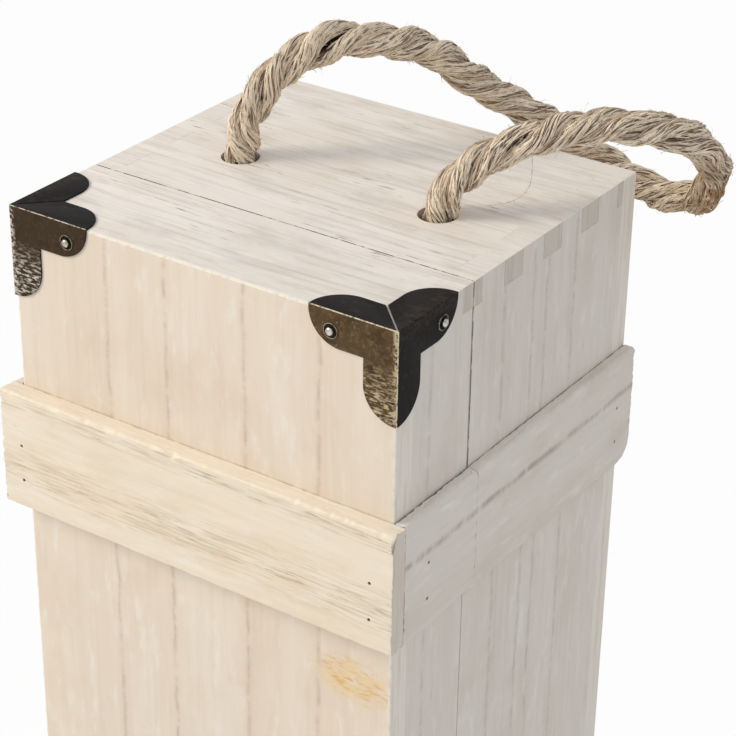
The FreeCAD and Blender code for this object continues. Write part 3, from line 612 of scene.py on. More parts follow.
FIBRES = {"crossing": dict(Length=2.6 * MM, Radius=0.08 * MM, Density=5e4, Aside=0.9, Lift=0.06, Seed=4),
          "loose": dict(Length=4.5 * MM, Radius=0.04 * MM, Density=0.25e4, Aside=2.6, Lift=0.8, Seed=9)}
work = bmesh.new()
for kind, values in FIBRES.items():
    work.from_mesh(grown(rope.data, hair_tree, kind, Finish=jute_fibre, **values))
print("fibres", len(work.faces), "faces")

# %% [markdown]
# One long fibre hangs from the right run down to the lid, so it gets a line of its own and joins
# the others.

# %% The long loose fibre
LONG_FIBRE = [(62, 23.5, 19.5), (62.5, 24, 11), (60.5, 23, 5.5), (56, 20, 2), (50, 16.7, 1)]
LONG_FIBRE_RADIUS, LONG_FIBRE_TURNS = 0.1 * MM, (0.0, 2.1, 4.2)
fibre_line = spline_points(above_lid(LONG_FIBRE), 8)
skin(work, [[point + (across * math.cos(angle) + over * math.sin(angle)) * LONG_FIBRE_RADIUS
             for angle in LONG_FIBRE_TURNS]
            for point, (arc, tangent, across, over) in zip(fibre_line, turning_frames(fibre_line))])
rope_fibres = piece_from(work, "jute_rope_fibres", jute_fibre, FIBRE_ANGLE)
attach(rope_fibres, "case")

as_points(rope_line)
print("rope fibres", len(rope_fibres.data.polygons), "faces")

# %% [markdown]
# The boards are a pale, soft wood under a thin white wash. The wash lets the grain through:
# broad warm and cool streaks, soft blotches, and short dark pores in clusters along the grain.
# Glued seams are soft broken lines at given places. Board ends have a colour of their own. The
# "mark" attribute of a piece says where its edges are rubbed pale, above zero, which is partly wear
# and partly a painted highlight. Below zero it draws dark lines where two boards meet, and painted
# shade in the saw cut, in the groove along the wall above the trim and under the side trim.

# %% Heavy grain and glued seams
SEAM_JOG = 3 * MM


def with_heavy_grain(tree, at, waved, colour, streak, heavy, sizes, offset):
    """Finer and darker grain about some heights, given as (height, reach) pairs in mm."""
    up = add_node(tree, "ShaderNodeSeparateXYZ", {"Vector": at}).outputs["Z"]
    for height, reach in heavy:
        away = add_node(tree, "ShaderNodeMath", {0: up, 1: height * MM}, operation="SUBTRACT")
        away = add_node(tree, "ShaderNodeMath", {0: away}, operation="ABSOLUTE")
        depth = add_node(tree, "ShaderNodeMapRange", {
            "Value": away, "From Min": reach * MM, "From Max": 0.3 * reach * MM, "To Max": 0.6})
        colour = layered(tree, waved, colour, (streak, sizes(1.0, 22), 0.46, 0.66, depth),
                         ("#9C8970", sizes(0.6, 11), 0.58, 0.68, depth), offset=offset)
    return colour


def with_seams(tree, at, colour, warm, seams, sizes, offset):
    """Glued joints from (axis, places in mm, darkness, warmth beside them), each in three widths."""
    axis, places, darkness, warmth = seams
    low, high = CASE_BOX[0][axis], CASE_BOX[1][axis]
    place = add_node(tree, "ShaderNodeSeparateXYZ", {"Vector": at})
    jog = mask(tree, at, sizes(40, 12), 0.0, 1.0, SEAM_JOG, offset)
    across = add_node(tree, "ShaderNodeMath", {0: place.outputs[axis], 1: jog})
    share = add_node(tree, "ShaderNodeMapRange", {"Value": across, "From Min": low, "From Max": high})
    middles = [(seam * MM - low) / (high - low) for seam in places]
    for half_mm, tint, length, start, most in (
            (3.0, warm, 40, 0.30, warmth), (1.3, "#8C7B70", 5, 0.36, 0.55 * darkness),
            (0.45, "#645649", 6, 0.46, 0.5 * darkness)):
        half = half_mm * MM / (high - low)
        stops = [(middle + side * half, 1.0 - abs(side)) for middle in middles for side in (-1, 0, 1)]
        line = add_node(tree, "ShaderNodeValToRGB", {"Fac": share}, stops=stops)
        dashes = mask(tree, at, sizes(60, length), start, start + 0.2, most, offset)
        shown = add_node(tree, "ShaderNodeMath", {0: line, 1: dashes}, operation="MULTIPLY")
        colour = layered(tree, at, colour, (tint, shown))
    return colour


print("seams lie within", [round(side.x / MM, 1) for side in CASE_BOX], "mm across the front")


# %% Bare patches and board ends
def with_bare_patch(tree, at, colour, centre, half):
    """Raw orange wood in a patch with this centre and these half sizes in mm."""
    local = add_node(tree, "ShaderNodeMapping", {
        "Vector": at, "Scale": [1 / (h * MM) for h in half],
        "Location": [-c / h for c, h in zip(centre, half)]})
    reach = add_node(tree, "ShaderNodeVectorMath", {0: local}, operation="LENGTH")
    inside = add_node(tree, "ShaderNodeMapRange", {"Value": reach, "From Min": 1.0, "From Max": 0.45})
    return layered(tree, at, colour, ("#F0D6AC", (7, 7, 2.6), 0.34, 0.54, inside),
                   ("#E5BC80", (5, 5, 1.4), 0.50, 0.66, inside))


def with_ends(tree, at, colour, ends, end, streak, offset):
    """The end colour on faces that look along the vector ends, either way."""
    normal = add_node(tree, "ShaderNodeTexCoord").outputs["Normal"]
    toward = add_node(tree, "ShaderNodeVectorMath", {0: normal, 1: ends}, operation="DOT_PRODUCT")
    toward = add_node(tree, "ShaderNodeMath", {0: toward}, operation="ABSOLUTE")
    at_end = add_node(tree, "ShaderNodeMapRange", {"Value": toward, "From Min": 0.72, "From Max": 0.80})
    end_grain = layered(tree, at, end, (streak, (14, 2.0, 30), 0.48, 0.70, 0.5), offset=offset)
    return layered(tree, at, colour, (end_grain, at_end))


print("patch and end tools ready")


# %% Whitewashed wood
def whitewashed_wood(name, grain, wash, warm, streak, end, streaks=0.4, flecks=0.4, fleck_mm=(0.7, 9),
                     ends=None, rub="#FBF4E6", seams=None, bare=None, heavy=(), seed=0):
    """Whitewashed wood with its grain along axis 0, 1 or 2.

    fleck_mm is the size of its pores across and along the grain. The colour of rubbed edges is partly wear
    and partly a painted highlight.
    ends points at the faces with the end colour, if they are not just those across the grain.
    seams is (axis, places in mm, darkness, warmth beside it): glued joints across that axis.
    bare is (centre, half sizes) in mm: a patch where the raw orange wood shows.
    heavy has (height, reach) pairs in mm: the grain is darkest at those heights.
    """
    material, tree, shader, at = new_material(name, wash, 0.85)
    offset = (seed * 3.1, seed * 5.7, seed * 7.3)

    def sizes(across, along):
        return [along if axis == grain else across for axis in range(3)]

    wander = add_node(tree, "ShaderNodeTexNoise", {"Vector": at, "Scale": 1 / (90 * MM), "Detail": 1.0})
    waved = add_node(tree, "ShaderNodeVectorMath", {0: wander.outputs["Color"], 1: (5 * MM,) * 3, 2: at},
                     operation="MULTIPLY_ADD")
    clusters = mask(tree, waved, sizes(13, 55), 0.46, 0.62, flecks, offset)
    colour = layered(tree, waved, wash,
                     (warm, sizes(17, 190), 0.38, 0.72, 0.65),
                     (warm, sizes(22, 40), 0.50, 0.64, 0.6),
                     (wash, (30, 30, 30), 0.45, 0.75, 0.5),
                     (streak, sizes(9, 26), 0.50, 0.74, 0.55 * streaks),
                     (streak, sizes(2.4, 70), 0.50, 0.76, 0.8 * streaks),
                     ("#FBF6EE", sizes(5, 16), 0.44, 0.26, 0.5),
                     ("#77675A", sizes(*fleck_mm), 0.62, 0.70, clusters), offset=offset)
    if heavy:
        colour = with_heavy_grain(tree, at, waved, colour, streak, heavy, sizes, offset)
    if seams:
        colour = with_seams(tree, at, colour, warm, seams, sizes, offset)
    if bare:
        colour = with_bare_patch(tree, at, colour, *bare)
    colour = with_ends(tree, at, colour, ends or AXES[grain], end, streak, offset)

    # Above zero the mark paints edges pale: partly wear, partly a painted highlight.
    marked = add_node(tree, "ShaderNodeAttribute", attribute_name="mark").outputs["Fac"]
    # Below zero it paints dark joint lines, and painted shade in cuts, grooves and under the trim.
    joint_line_and_shade = add_node(tree, "ShaderNodeMath", {0: marked, 1: -0.5}, operation="MULTIPLY")
    colour = layered(tree, at, colour, (rub, sizes(1.6, 4), 0.32, 0.54, marked),
                     ("#4A3F36", (4, 4, 4), 0.34, 0.52, joint_line_and_shade), offset=offset)
    finish_with(tree, shader, colour, 0.3)
    return material


print("wood finish ready for grain along", len(AXES), "axes")

# %% The wood of each group
FRONT_SEAMS = (-35.0, -11.0, 20.0, 48.5)
BACK_SEAMS = (-47.0, -18.0, 9.0, 41.0)
SIDE_SEAMS = (-52.0, -10.0, 8.0, 16.5, 34.5)
EDGES_AND_ENDS = Vector((1, 0, 1))
front_wood = whitewashed_wood(
    "whitewashed_front_boards", 2, "#F1E5D4", "#E8D4BF", "#D6C3AC", "#F3EBE0", streaks=0.3, flecks=0.06,
    ends=EDGES_AND_ENDS, seams=(0, FRONT_SEAMS, 0.45, 0.5), bare=((61, -72, 350), (19, 8, 10)), seed=1)
back_wood = whitewashed_wood(
    "whitewashed_back_boards", 2, "#EFE4D4", "#E6D6C0", "#D0BEA6", "#F1E9DE", flecks=0.2,
    ends=EDGES_AND_ENDS, seams=(0, BACK_SEAMS, 0.6, 0.5), seed=2)
# The side boards get a greyer, cooler wash than the front, as painted cool shade on the sides away from the
# key light.
shaded_side_wood = whitewashed_wood(
    "whitewashed_side_boards", 2, "#EBE3D9", "#E1D6CA", "#CBBEAF", "#F3EBE1", streaks=0.28, flecks=0.2,
    seams=(1, SIDE_SEAMS, 0.4, 0.2), seed=3)
lid_wood = whitewashed_wood(
    "whitewashed_lid_boards", 0, "#FBF4EB", "#EEE3D5", "#B5A899", "#DBD1C5", streaks=0.6, flecks=1.0,
    fleck_mm=(0.8, 14), seed=4)
front_trim_wood = whitewashed_wood(
    "whitewashed_front_trim", 0, "#F8EDDB", "#F1DFC4", "#CBB694", "#E3D9CD", streaks=0.2, flecks=0.2,
    rub="#FDF0D6", heavy=((386, 10), (411, 4)), seed=5)
# The side trim gets the same greyer, cooler wash, as painted cool shade; the front trim is warmer and
# brighter.
shaded_side_trim_wood = whitewashed_wood(
    "whitewashed_side_trim", 1, "#EBE3D9", "#DFD3C5", "#CABDAC", "#E4DBCF", streaks=0.2, flecks=0.15,
    seams=(2, (30.5, 401.5), 1.0, 0.0), seed=6)
bead_wood = whitewashed_wood(
    "whitewashed_window_beads", 2, "#EEE3D2", "#E3D2BA", "#CDBBA2", "#DDD0BE", seed=7)
print("wood finishes", [m.name for m in bpy.data.materials if m.name.startswith("whitewashed")])

# %% [markdown]
# The panels are right in the CAD model, but a sawn and sanded board has no knife edges. A copy
# of each node is merged, its flat faces are put together, and its long sharp edges are eased by
# a narrow bevel. New faces on the outer edges of the lantern are marked as rubbed, which paints
# them pale as wear and as a painted highlight. The finger joints lie inside the outer faces, so
# their bevels are marked as dark lines, and those at the saw cut are marked darker, as painted
# shade in the cut. Paint hides the joints on the lid. It has nearly closed the cut there and below
# the trim.

# %% Eased boards
MERGE, TOUCH, NEAR_CUT = 0.002 * MM, 0.001 * MM, 1 * MM
FLAT, SHARP = math.radians(1.5), math.radians(45)
# Marks for bevels: rubbed pale, partly wear and partly painted highlight; painted shade at the open saw cut;
# dark finger joints.
RUBBED, CUT_SHADE, JOINT_DARK = 1.0, -2.0, -0.5
SAW_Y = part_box("door_top_board")[1].y
GLUED_Y = (FRONT_HIGH.y, BACK_LOW.y)
COVERED_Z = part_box("upper_band_right")[0].z + 10 * MM


def merged_copy(node):
    """A bmesh of a CAD node with its loose triangles joined and its flat faces put together."""
    work = bmesh.new()
    work.from_mesh(frame["nodes"][node].data)
    bmesh.ops.remove_doubles(work, verts=work.verts, dist=MERGE)
    bmesh.ops.dissolve_limit(work, angle_limit=FLAT, verts=work.verts, edges=work.edges)
    return work


def ease(work, width, least_length, box=None, inside_mark=RUBBED, needed=None):
    """Bevels the long sharp edges, but not those in a glued plane, and marks the new faces.

    Bevels on the edges of the box are rubbed pale, partly as wear and partly as a painted highlight,
    if the needed axis is one of the two that meet there. Those at the open cut are painted dark as
    shade in the cut, those on the lid have no mark, and the others get inside_mark.
    """
    mark = work.faces.layers.float.new("mark")
    edges = [edge for edge in work.edges if len(edge.link_faces) == 2 and edge.calc_length() > least_length
             and edge.calc_face_angle() > SHARP
             and not any(all(abs(vertex.co.y - plane) < TOUCH for vertex in edge.verts) for plane in GLUED_Y)]
    made = bmesh.ops.bevel(work, geom=edges, offset=width, offset_type="OFFSET", segments=2, profile=0.6,
                           affect="EDGES", clamp_overlap=True)
    for face in made["faces"]:
        centre = face.calc_center_median()
        outer = [axis for axis in range(3)
                 if box and min(abs(centre[axis] - side[axis]) for side in box) < width]
        rubbed = len(outer) > 1 and (needed is None or needed in outer)
        by_saw = abs(centre.y - SAW_Y) < NEAR_CUT
        on_lid = centre.z > TOP_Z - width
        # Bevels at the open saw cut get painted shade.
        face[mark] = (RUBBED if rubbed else CUT_SHADE if by_saw and centre.z > COVERED_Z
                      else 0.0 if on_lid else inside_mark)


print("saw cut at", round(SAW_Y / MM, 1), "mm, open at the sides above", round(COVERED_Z / MM, 1), "mm")

# %% Paint in the saw cut
PAINT, PAINT_FADE = 0.22 * MM, 6 * MM
PAINTED_CUTS = {shaded_side_wood: COVERED_Z, lid_wood: TOP_Z + 1 * MM}


def close_cut(work, below):
    """Brings the sawn face of a board nearer to the cut where paint has filled it, below a height."""
    for height in (below, below + PAINT_FADE):
        bmesh.ops.bisect_plane(work, geom=[*work.verts, *work.edges, *work.faces],
                               plane_co=(0, 0, height), plane_no=AXES[2])
    for vertex in work.verts:
        away = vertex.co.y - SAW_Y
        if vertex.co.z < below + TOUCH and abs(away) < NEAR_CUT:
            vertex.co.y += PAINT if away < TOUCH else -PAINT


def eased(node, name, material, slot, smooth_angle, width_mm, least_mm, *marking, **more):
    """A CAD node's shape with its edges eased, as the piece that stands for the node."""
    work = merged_copy(node)
    if material in PAINTED_CUTS:
        close_cut(work, PAINTED_CUTS[material])
    ease(work, width_mm * MM, least_mm * MM, *marking, **more)
    return stand_for(piece_from(work, name, material, smooth_angle), slot, node)


print("paint narrows the cut by", round(2 * PAINT / MM, 2), "mm")

# %% Boards and beads
PANES = [side + "_window" for side in ("front", "left", "right")]
JOINTED, BOTTOM = (0.16, JOINT_DARK), (0.3, 0.0)
BOARDS = {
    "front_panel": (front_wood, 0.8, RUBBED), "back_panel": (back_wood, 0.7, RUBBED),
    "left_side_panel": (shaded_side_wood, *JOINTED), "right_side_panel": (shaded_side_wood, *JOINTED),
    "door_left_board": (shaded_side_wood, *JOINTED), "door_right_board": (shaded_side_wood, *JOINTED),
    "top_panel": (lid_wood, *JOINTED), "door_top_board": (lid_wood, *JOINTED),
    "bottom_panel": (lid_wood, *BOTTOM), "door_bottom_board": (lid_wood, *BOTTOM),
}
for node, (wood, width_mm, inside_mark) in BOARDS.items():
    eased(node, node + "_board", wood, "whitewashed_boards", BOARD_ANGLE, width_mm, 4, CASE_BOX, inside_mark)
for pane in PANES:
    eased(pane + "_beads", pane + "_bead_strips", bead_wood, "whitewashed_trim", BOARD_ANGLE, 0.8, 2)
print("boards", len(BOARDS), "and bead sets", len(PANES))

# %% [markdown]
# Nails, screws and brads are each one CAD node with several solids. The box of each solid says
# where a fastener sits, and its long axis says which way its head looks: away from the middle.

# %% Where the fasteners are
def loose_boxes(node):
    """The box of each separate solid in a CAD node, found by walking its merged mesh."""
    work = merged_copy(node)
    left, boxes = set(work.verts), []
    while left:
        front, group = [left.pop()], []
        while front:
            vertex = front.pop()
            group.append(tuple(vertex.co))
            others = {edge.other_vert(vertex) for edge in vertex.link_edges} & left
            left -= others
            front += others
        boxes.append((Vector(np.min(group, 0)), Vector(np.max(group, 0))))
    work.free()
    return sorted(boxes, key=lambda box: tuple(round(v, 5) for v in box[0]))


def heads_of(node, axis=None):
    """(middle of the head, axis, sign) for each fastener in a node."""
    places = []
    for low, high in loose_boxes(node):
        point = (low + high) / 2
        along = axis if axis is not None else max(range(3), key=lambda i: high[i] - low[i])
        sign = math.copysign(1.0, point[along])
        point[along] = high[along] if sign > 0 else low[along]
        places.append((point, along, sign))
    return places


brads = {node: heads_of(node) for node in ("door_band_brads", "case_band_brads")}
print("brads", {node: len(places) for node, places in brads.items()})

# %% [markdown]
# The trim battens are rougher than the panels: sawn, nailed on, and chipped along their edges.
# Each is a skin over many cross-sections along its grain. Every section is a rectangle whose
# four corners are worn by their own amount, which noise changes along the length, so the edge
# shows real dents and splinters. Shallow furrows run along the faces. The outer ends are ragged,
# and those at the saw cut are clean. The edge that meets the wall above is marked dark, as painted
# shade in the groove there, and the lower edge at the sides gets a faint dark line of painted shade
# where the trim meets the board below. The rubbed outer edges are pale, partly from wear and partly
# as a painted highlight.

# %% Batten sections
CORNER_STEPS = 3
WEAR_GRAIN, WEAR_WAVE, WEAR_SPLIT = 1.7 * MM, 15 * MM, 4 * MM


def batten_section(low, high, wears, levels, furrows):
    """Points round a rectangle with its corners worn by four amounts, and a mark for each point.

    furrows has the depths of the points on each face, from one corner to the next.
    """
    corners = [(low[0], low[1], 1, 1), (high[0], low[1], -1, 1), (high[0], high[1], -1, -1),
               (low[0], high[1], 1, -1)]
    arcs = []
    for number, (x, y, to_x, to_y) in enumerate(corners):
        angles = [math.pi * (1 + 0.5 * (number + step / CORNER_STEPS)) for step in range(CORNER_STEPS + 1)]
        arcs.append([(x + wears[number] * (to_x + math.cos(turn)),
                      y + wears[number] * (to_y + math.sin(turn))) for turn in angles])
    points = []
    for number, arc in enumerate(arcs):
        points += [(x, y, levels[number] if 0 < step < CORNER_STEPS else 0.0)
                   for step, (x, y) in enumerate(arc)]
        (x, y), (end_x, end_y) = arc[-1], arcs[(number + 1) % 4][0]
        turn = math.pi * (1.5 + 0.5 * number)
        for step, depth in enumerate(furrows[number], 1):
            share = step / (len(furrows[number]) + 1)
            points.append((x + (end_x - x) * share - depth * math.cos(turn),
                           y + (end_y - y) * share - depth * math.sin(turn), 0.0))
    return points


def worn_by(at, corner, seed, base, chips):
    """How far a batten's corner is worn at a place along it: about the base, and more in chips."""
    rough = noise.noise(Vector((at / WEAR_GRAIN, corner * 7.7 + seed, 0.5)))
    wave = noise.noise(Vector((at / WEAR_WAVE, corner * 3.3 + seed, 5.1)))
    split = noise.noise(Vector((at / WEAR_SPLIT, corner * 3.3 + seed, 9.4)))
    return (base * (1 + 0.6 * rough) + chips * max(0.0, 0.6 * wave + 0.6 * split + 0.3 * rough)) * MM


print("a worn corner has", CORNER_STEPS + 1, "points")

# %% One batten
SECTION_STEP, TRIM_PAINT = 0.7 * MM, 0.32 * MM
FURROW_STEP, FURROW_DEPTH, FURROW_LENGTH = 1.2 * MM, 0.55 * MM, 18 * MM
END_DEPTH, END_GRAIN, END_INSET, BROKEN_REACH = 1.6 * MM, 1.2 * MM, 0.06 * MM, 6 * MM


def batten(node, wood, grain, edges, seed, lost_corner=0.0, broken_end=0.0):
    """One trim batten in its CAD node's box, with (base wear, chips, mark) for its four edges.

    lost_corner rounds off its lower far end, and broken_end splinters the last edge there. Paint
    has run into the saw cut, so an end at the cut stands a little nearer to it.
    """
    low, high = (corner.copy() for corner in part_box(node))
    for end, way in ((low, -1), (high, 1)):
        if abs(end.y - SAW_Y) < NEAR_CUT:
            end.y += way * TRIM_PAINT
    cross = [axis for axis in range(3) if axis != grain]
    count = round((high[grain] - low[grain]) / SECTION_STEP)
    face_points = [round((high[axis] - low[axis]) / FURROW_STEP) for axis in cross] * 2
    rings, marks = [], []
    for i in range(count + 1):
        at = low[grain] + (high[grain] - low[grain]) * i / count
        at_end = (i == 0) - (i == count)
        ragged = 0.0 if grain == 1 and abs(at - SAW_Y) < NEAR_CUT else END_DEPTH
        wears = [worn_by(at, corner, seed, base, chips) for corner, (base, chips, level) in enumerate(edges)]
        wears[3] += broken_end * max(0.0, 1 - (high[grain] - at) / BROKEN_REACH) ** 2
        furrows = [[FURROW_DEPTH * max(0.0, noise.noise(Vector((at / FURROW_LENGTH, k * 0.8, seed + face))))
                    for k in range(number)] for face, number in enumerate(face_points)]
        inset = END_INSET if at_end else 0.0
        section_low = [low[axis] + inset for axis in cross]
        section_high = [high[axis] - inset for axis in cross]
        if lost_corner:
            gone = max(0.0, (at - (high[grain] - lost_corner)) / lost_corner)
            section_low[1] += lost_corner * (1 - math.sqrt(max(0.0, 1 - gone * gone)))
        ring = []
        levels = [0.0 if at_end else level for *_, level in edges]
        for x, y, mark in batten_section(section_low, section_high, wears, levels, furrows):
            point = Vector()
            torn = max(0.0, noise.noise(Vector((x, y, seed)) / END_GRAIN)) if at_end else 0.0
            point[grain], point[cross[0]], point[cross[1]] = at + at_end * ragged * torn, x, y
            ring.append(point)
            marks.append(mark)
        rings.append(ring)
    work = bmesh.new()
    worn = work.verts.layers.float.new("mark")
    rows = skin(work, rings)
    for vertex, mark in zip((vertex for row in rows for vertex in row), marks):
        vertex[worn] = mark
    return piece_from(work, node + "_batten", wood, TRIM_ANGLE)


print("batten sections every", round(SECTION_STEP / MM, 2), "mm")

# %% [markdown]
# A brad sits a little below the surface in its own hole. The holes are cut with a Boolean, and
# the edges are sharpened again after it.

# %% Battens with their brad holes
def cut_away(piece, cutter_work, smooth_angle):
    """Takes the cutter's shape out of a piece's mesh for good."""
    cutter = piece_from(cutter_work, "cutter", piece.data.materials[0])
    modifier = piece.modifiers.new("cut", "BOOLEAN")
    modifier.object, modifier.operation, modifier.solver = cutter, "DIFFERENCE", "EXACT"
    bpy.context.view_layer.update()
    mesh = bpy.data.meshes.new_from_object(piece.evaluated_get(bpy.context.evaluated_depsgraph_get()))
    mesh.set_sharp_from_angle(angle=math.radians(smooth_angle))
    piece.modifiers.remove(modifier)
    piece.data = mesh
    bpy.data.objects.remove(cutter)


HOLE_RADIUS, HOLE_DEPTH, HOLE_SIDES = 0.62 * MM, 1.0 * MM, 14


def hole_rings(point, axis, sign):
    """Two rings for a brad hole, one in the wood and one outside."""
    across = AXES[axis - 1], AXES[axis - 2]
    return [[point + AXES[axis] * sign * level + across[0] * HOLE_RADIUS * math.cos(turn)
             + across[1] * HOLE_RADIUS * math.sin(turn) for turn in turns(HOLE_SIDES)]
            for level in (-HOLE_DEPTH, 2 * HOLE_DEPTH)]


# Each edge is (base wear, chips, mark). A positive mark paints the edge pale, partly wear and partly painted
# highlight. The negative marks at the wall joint and along the sides' lower edge are painted shade.
OUTER_LOW, SIDE_LOW_SHADE, HIDDEN, OUTER_TOP = (0.4, 0.8, 1.0), (0.4, 0.8, -0.8), (0.1, 0.0, 0.0), (1.5, 0.6, 0.2)
WALL_JOINT_SHADE, OPEN_WALL_JOINT_SHADE = (0.5, 0.0, -2.0), (0.8, 0.5, -2.0)
LOST_CORNER, BROKEN_END = 8 * MM, 1.5 * MM
EDGES = {"front": (OUTER_LOW, HIDDEN, (0.3, 0.6, -1.2), (0.8, 2.4, 1.0)),
         "door_left": (SIDE_LOW_SHADE, HIDDEN, OPEN_WALL_JOINT_SHADE, OUTER_TOP),
         "door_right": (HIDDEN, SIDE_LOW_SHADE, OUTER_TOP, OPEN_WALL_JOINT_SHADE),
         "left": (SIDE_LOW_SHADE, HIDDEN, WALL_JOINT_SHADE, OUTER_TOP), "right": (HIDDEN, SIDE_LOW_SHADE, OUTER_TOP, WALL_JOINT_SHADE)}
BATTENS = [(band, part) for band in ("upper_band", "base_band") for part in EDGES]
for seed, (band, part) in enumerate(BATTENS):
    node = band + "_" + part
    in_front = part == "front"
    trim = batten(node, front_trim_wood if in_front else shaded_side_trim_wood, 0 if in_front else 1, EDGES[part],
                  seed * 11.3, lost_corner=LOST_CORNER if node == "upper_band_right" else 0.0,
                  broken_end=BROKEN_END if in_front else 0.0)
    low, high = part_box(node)
    work = bmesh.new()
    for point, axis, sign in brads["door_band_brads"] + brads["case_band_brads"]:
        if all(low[a] < point[a] < high[a] for a in range(3)):
            skin(work, hole_rings(point, axis, sign))
    cut_away(trim, work, TRIM_ANGLE)
    stand_for(trim, "whitewashed_trim", node)
print("battens", len(BATTENS))

# %% [markdown]
# Metal finishes are layered like the wood. Dark brads and pale nails are steel, the screws and
# the fittings are antique brass, and the candle pan is blackened iron.

# %% Metal finishes
def worn_metal(name, dark, bright, roughness, grit_mm, metallic=1.0):
    """Metal with fine mottling between a dark and a bright tone."""
    material, tree, shader, at = new_material(name, bright, roughness, metallic)
    mottled = layered(tree, at, dark, (bright, (grit_mm,) * 3, 0.36, 0.64, 1.0))
    finish_with(tree, shader, mottled, 0.08, strength=0.3)
    return material


dull_steel = worn_metal("oxidised_brad_steel", "#241D18", "#4A3F35", 0.65, 0.8)
nail_steel = worn_metal("polished_nail_steel", "#8E877E", "#E4DED5", 0.35, 1.2)
screw_brass = worn_metal("antique_screw_brass", "#4A3A22", "#9C8252", 0.38, 0.9)
hardware_brass = worn_metal("antique_hardware_brass", "#2E2416", "#7E683E", 0.42, 2.5)
blackened_iron = worn_metal("blackened_iron_sheet", "#141312", "#33302D", 0.55, 1.2, metallic=0.7)
print("metals", [m.name for m in bpy.data.materials if m.name.split("_")[-1] in ("steel", "brass", "sheet")])

# %% [markdown]
# Fasteners repeat, so Geometry Nodes set them out: a point for each, with the way it faces and
# how far it is turned, and one head that is built once.

# %% Fasteners by Geometry Nodes
fastener_tree, given, result = geometry_tree("set_fasteners", Fastener="Object", Finish="Material")
head_shape = add_node(fastener_tree, "GeometryNodeObjectInfo", {"Object": given["Fastener"]})
facing = add_node(fastener_tree, "GeometryNodeInputNamedAttribute", {"Name": "facing"},
                  data_type="FLOAT_VECTOR")
turning = add_node(fastener_tree, "GeometryNodeInputNamedAttribute", {"Name": "turn"}, data_type="FLOAT")
aligned = add_node(fastener_tree, "FunctionNodeAlignRotationToVector", {"Vector": facing}, axis="Z")
spin = add_node(fastener_tree, "ShaderNodeCombineXYZ", {"Z": turning})
set_instances(fastener_tree, given["Geometry"], head_shape.outputs["Geometry"], aligned, spin,
              given["Finish"], result)
print("fastener tree", len(fastener_tree.nodes), "nodes")


# %% Fastener heads
def turned_head(name, profile_mm, material, sides=24):
    """A pattern for the tree, turned from (radius, height, mark) points in millimetres."""
    work = bmesh.new()
    mark = work.verts.layers.float.new("mark")
    rows = skin(work, [[Vector((r * math.cos(turn), r * math.sin(turn), z)) * MM for turn in turns(sides)]
                       for r, z, level in profile_mm])
    for row, (r, z, level) in zip(rows, profile_mm):
        for vertex in row:
            vertex[mark] = level
    return piece_from(work, name, material, HEAD_ANGLE)


FIRST_TURN, NEXT_TURN = 0.4, 1.3


def set_out(name, head, places, material, slot, *nodes):
    """One piece with a head at each (point, axis, sign) place, standing for CAD nodes."""
    points = bpy.data.meshes.new(name + "_points")
    points.from_pydata([tuple(point) for point, axis, sign in places], [], [])
    points.attributes.new("facing", "FLOAT_VECTOR", "POINT")
    points.attributes.new("turn", "FLOAT", "POINT")
    for i, (point, axis, sign) in enumerate(places):
        points.attributes["facing"].data[i].vector = AXES[axis] * sign
        points.attributes["turn"].data[i].value = FIRST_TURN + NEXT_TURN * i
    mesh = grown(points, fastener_tree, name, Fastener=head, Finish=material)
    piece = stand_for(piece_of_mesh(mesh, name, material, HEAD_ANGLE), slot, *nodes)
    print(name, len(places), "set,", len(piece.data.polygons), "faces")


print("head tools ready")

# %% [markdown]
# Brad heads are small and dark. Wood screws have a slot, cut with a Boolean. The bracket nails
# have a pale domed head that stands proud of an eyelet with a dull raised rim; the eyelet's floor
# is painted near black as shade round the head.

# %% Brads, screws and nails
brad_head = turned_head("brad_head", [
    (0.5, -4.0, 0), (0.52, -0.7, 0), (0.56, -0.4, 0), (0.54, -0.1, 0), (0.25, 0.0, 0)], dull_steel)
for node, places in brads.items():
    set_out(node.replace("_brads", "_brad_heads"), brad_head, places, dull_steel, "brad_steel", node)

screw_head = turned_head("screw_head", [
    (0.2, -5.5, 0), (1.1, -4.2, 0), (1.15, -1.05, 0), (2.3, -0.12, 0), (2.38, -0.03, 0), (2.25, 0.0, 0),
    (1.2, 0.03, 0), (0.3, 0.04, 0)], screw_brass)
SLOT_SIZE = Vector((6, 0.62, 1.0)) * MM
work = bmesh.new()
bmesh.ops.create_cube(work, size=1.0)
bmesh.ops.scale(work, vec=SLOT_SIZE, verts=work.verts)
cut_away(screw_head, work, HEAD_ANGLE)
for node in ("hinge_case_screws", "hinge_door_screws", "latch_plate_screws", "latch_keeper_screws",
             "candle_pan_screws"):
    pan = node == "candle_pan_screws"
    set_out(node.replace("_screws", "_screw_heads"), screw_head, heads_of(node, 2 if pan else 0),
            blackened_iron if pan else screw_brass, "fastener_metal", node)

# %% [markdown]
# The corner brackets are thin brass sheet, blackened and then rubbed. On the front the black is
# brown and mottled, and on the lower leg it is worn through in pale ridges. On the lid and the
# sides it is still nearly black, with brown scuffs near the fold between them. Bare metal shows
# along the two folds of the front face, where the bevels carry the mark, and noise breaks it up.

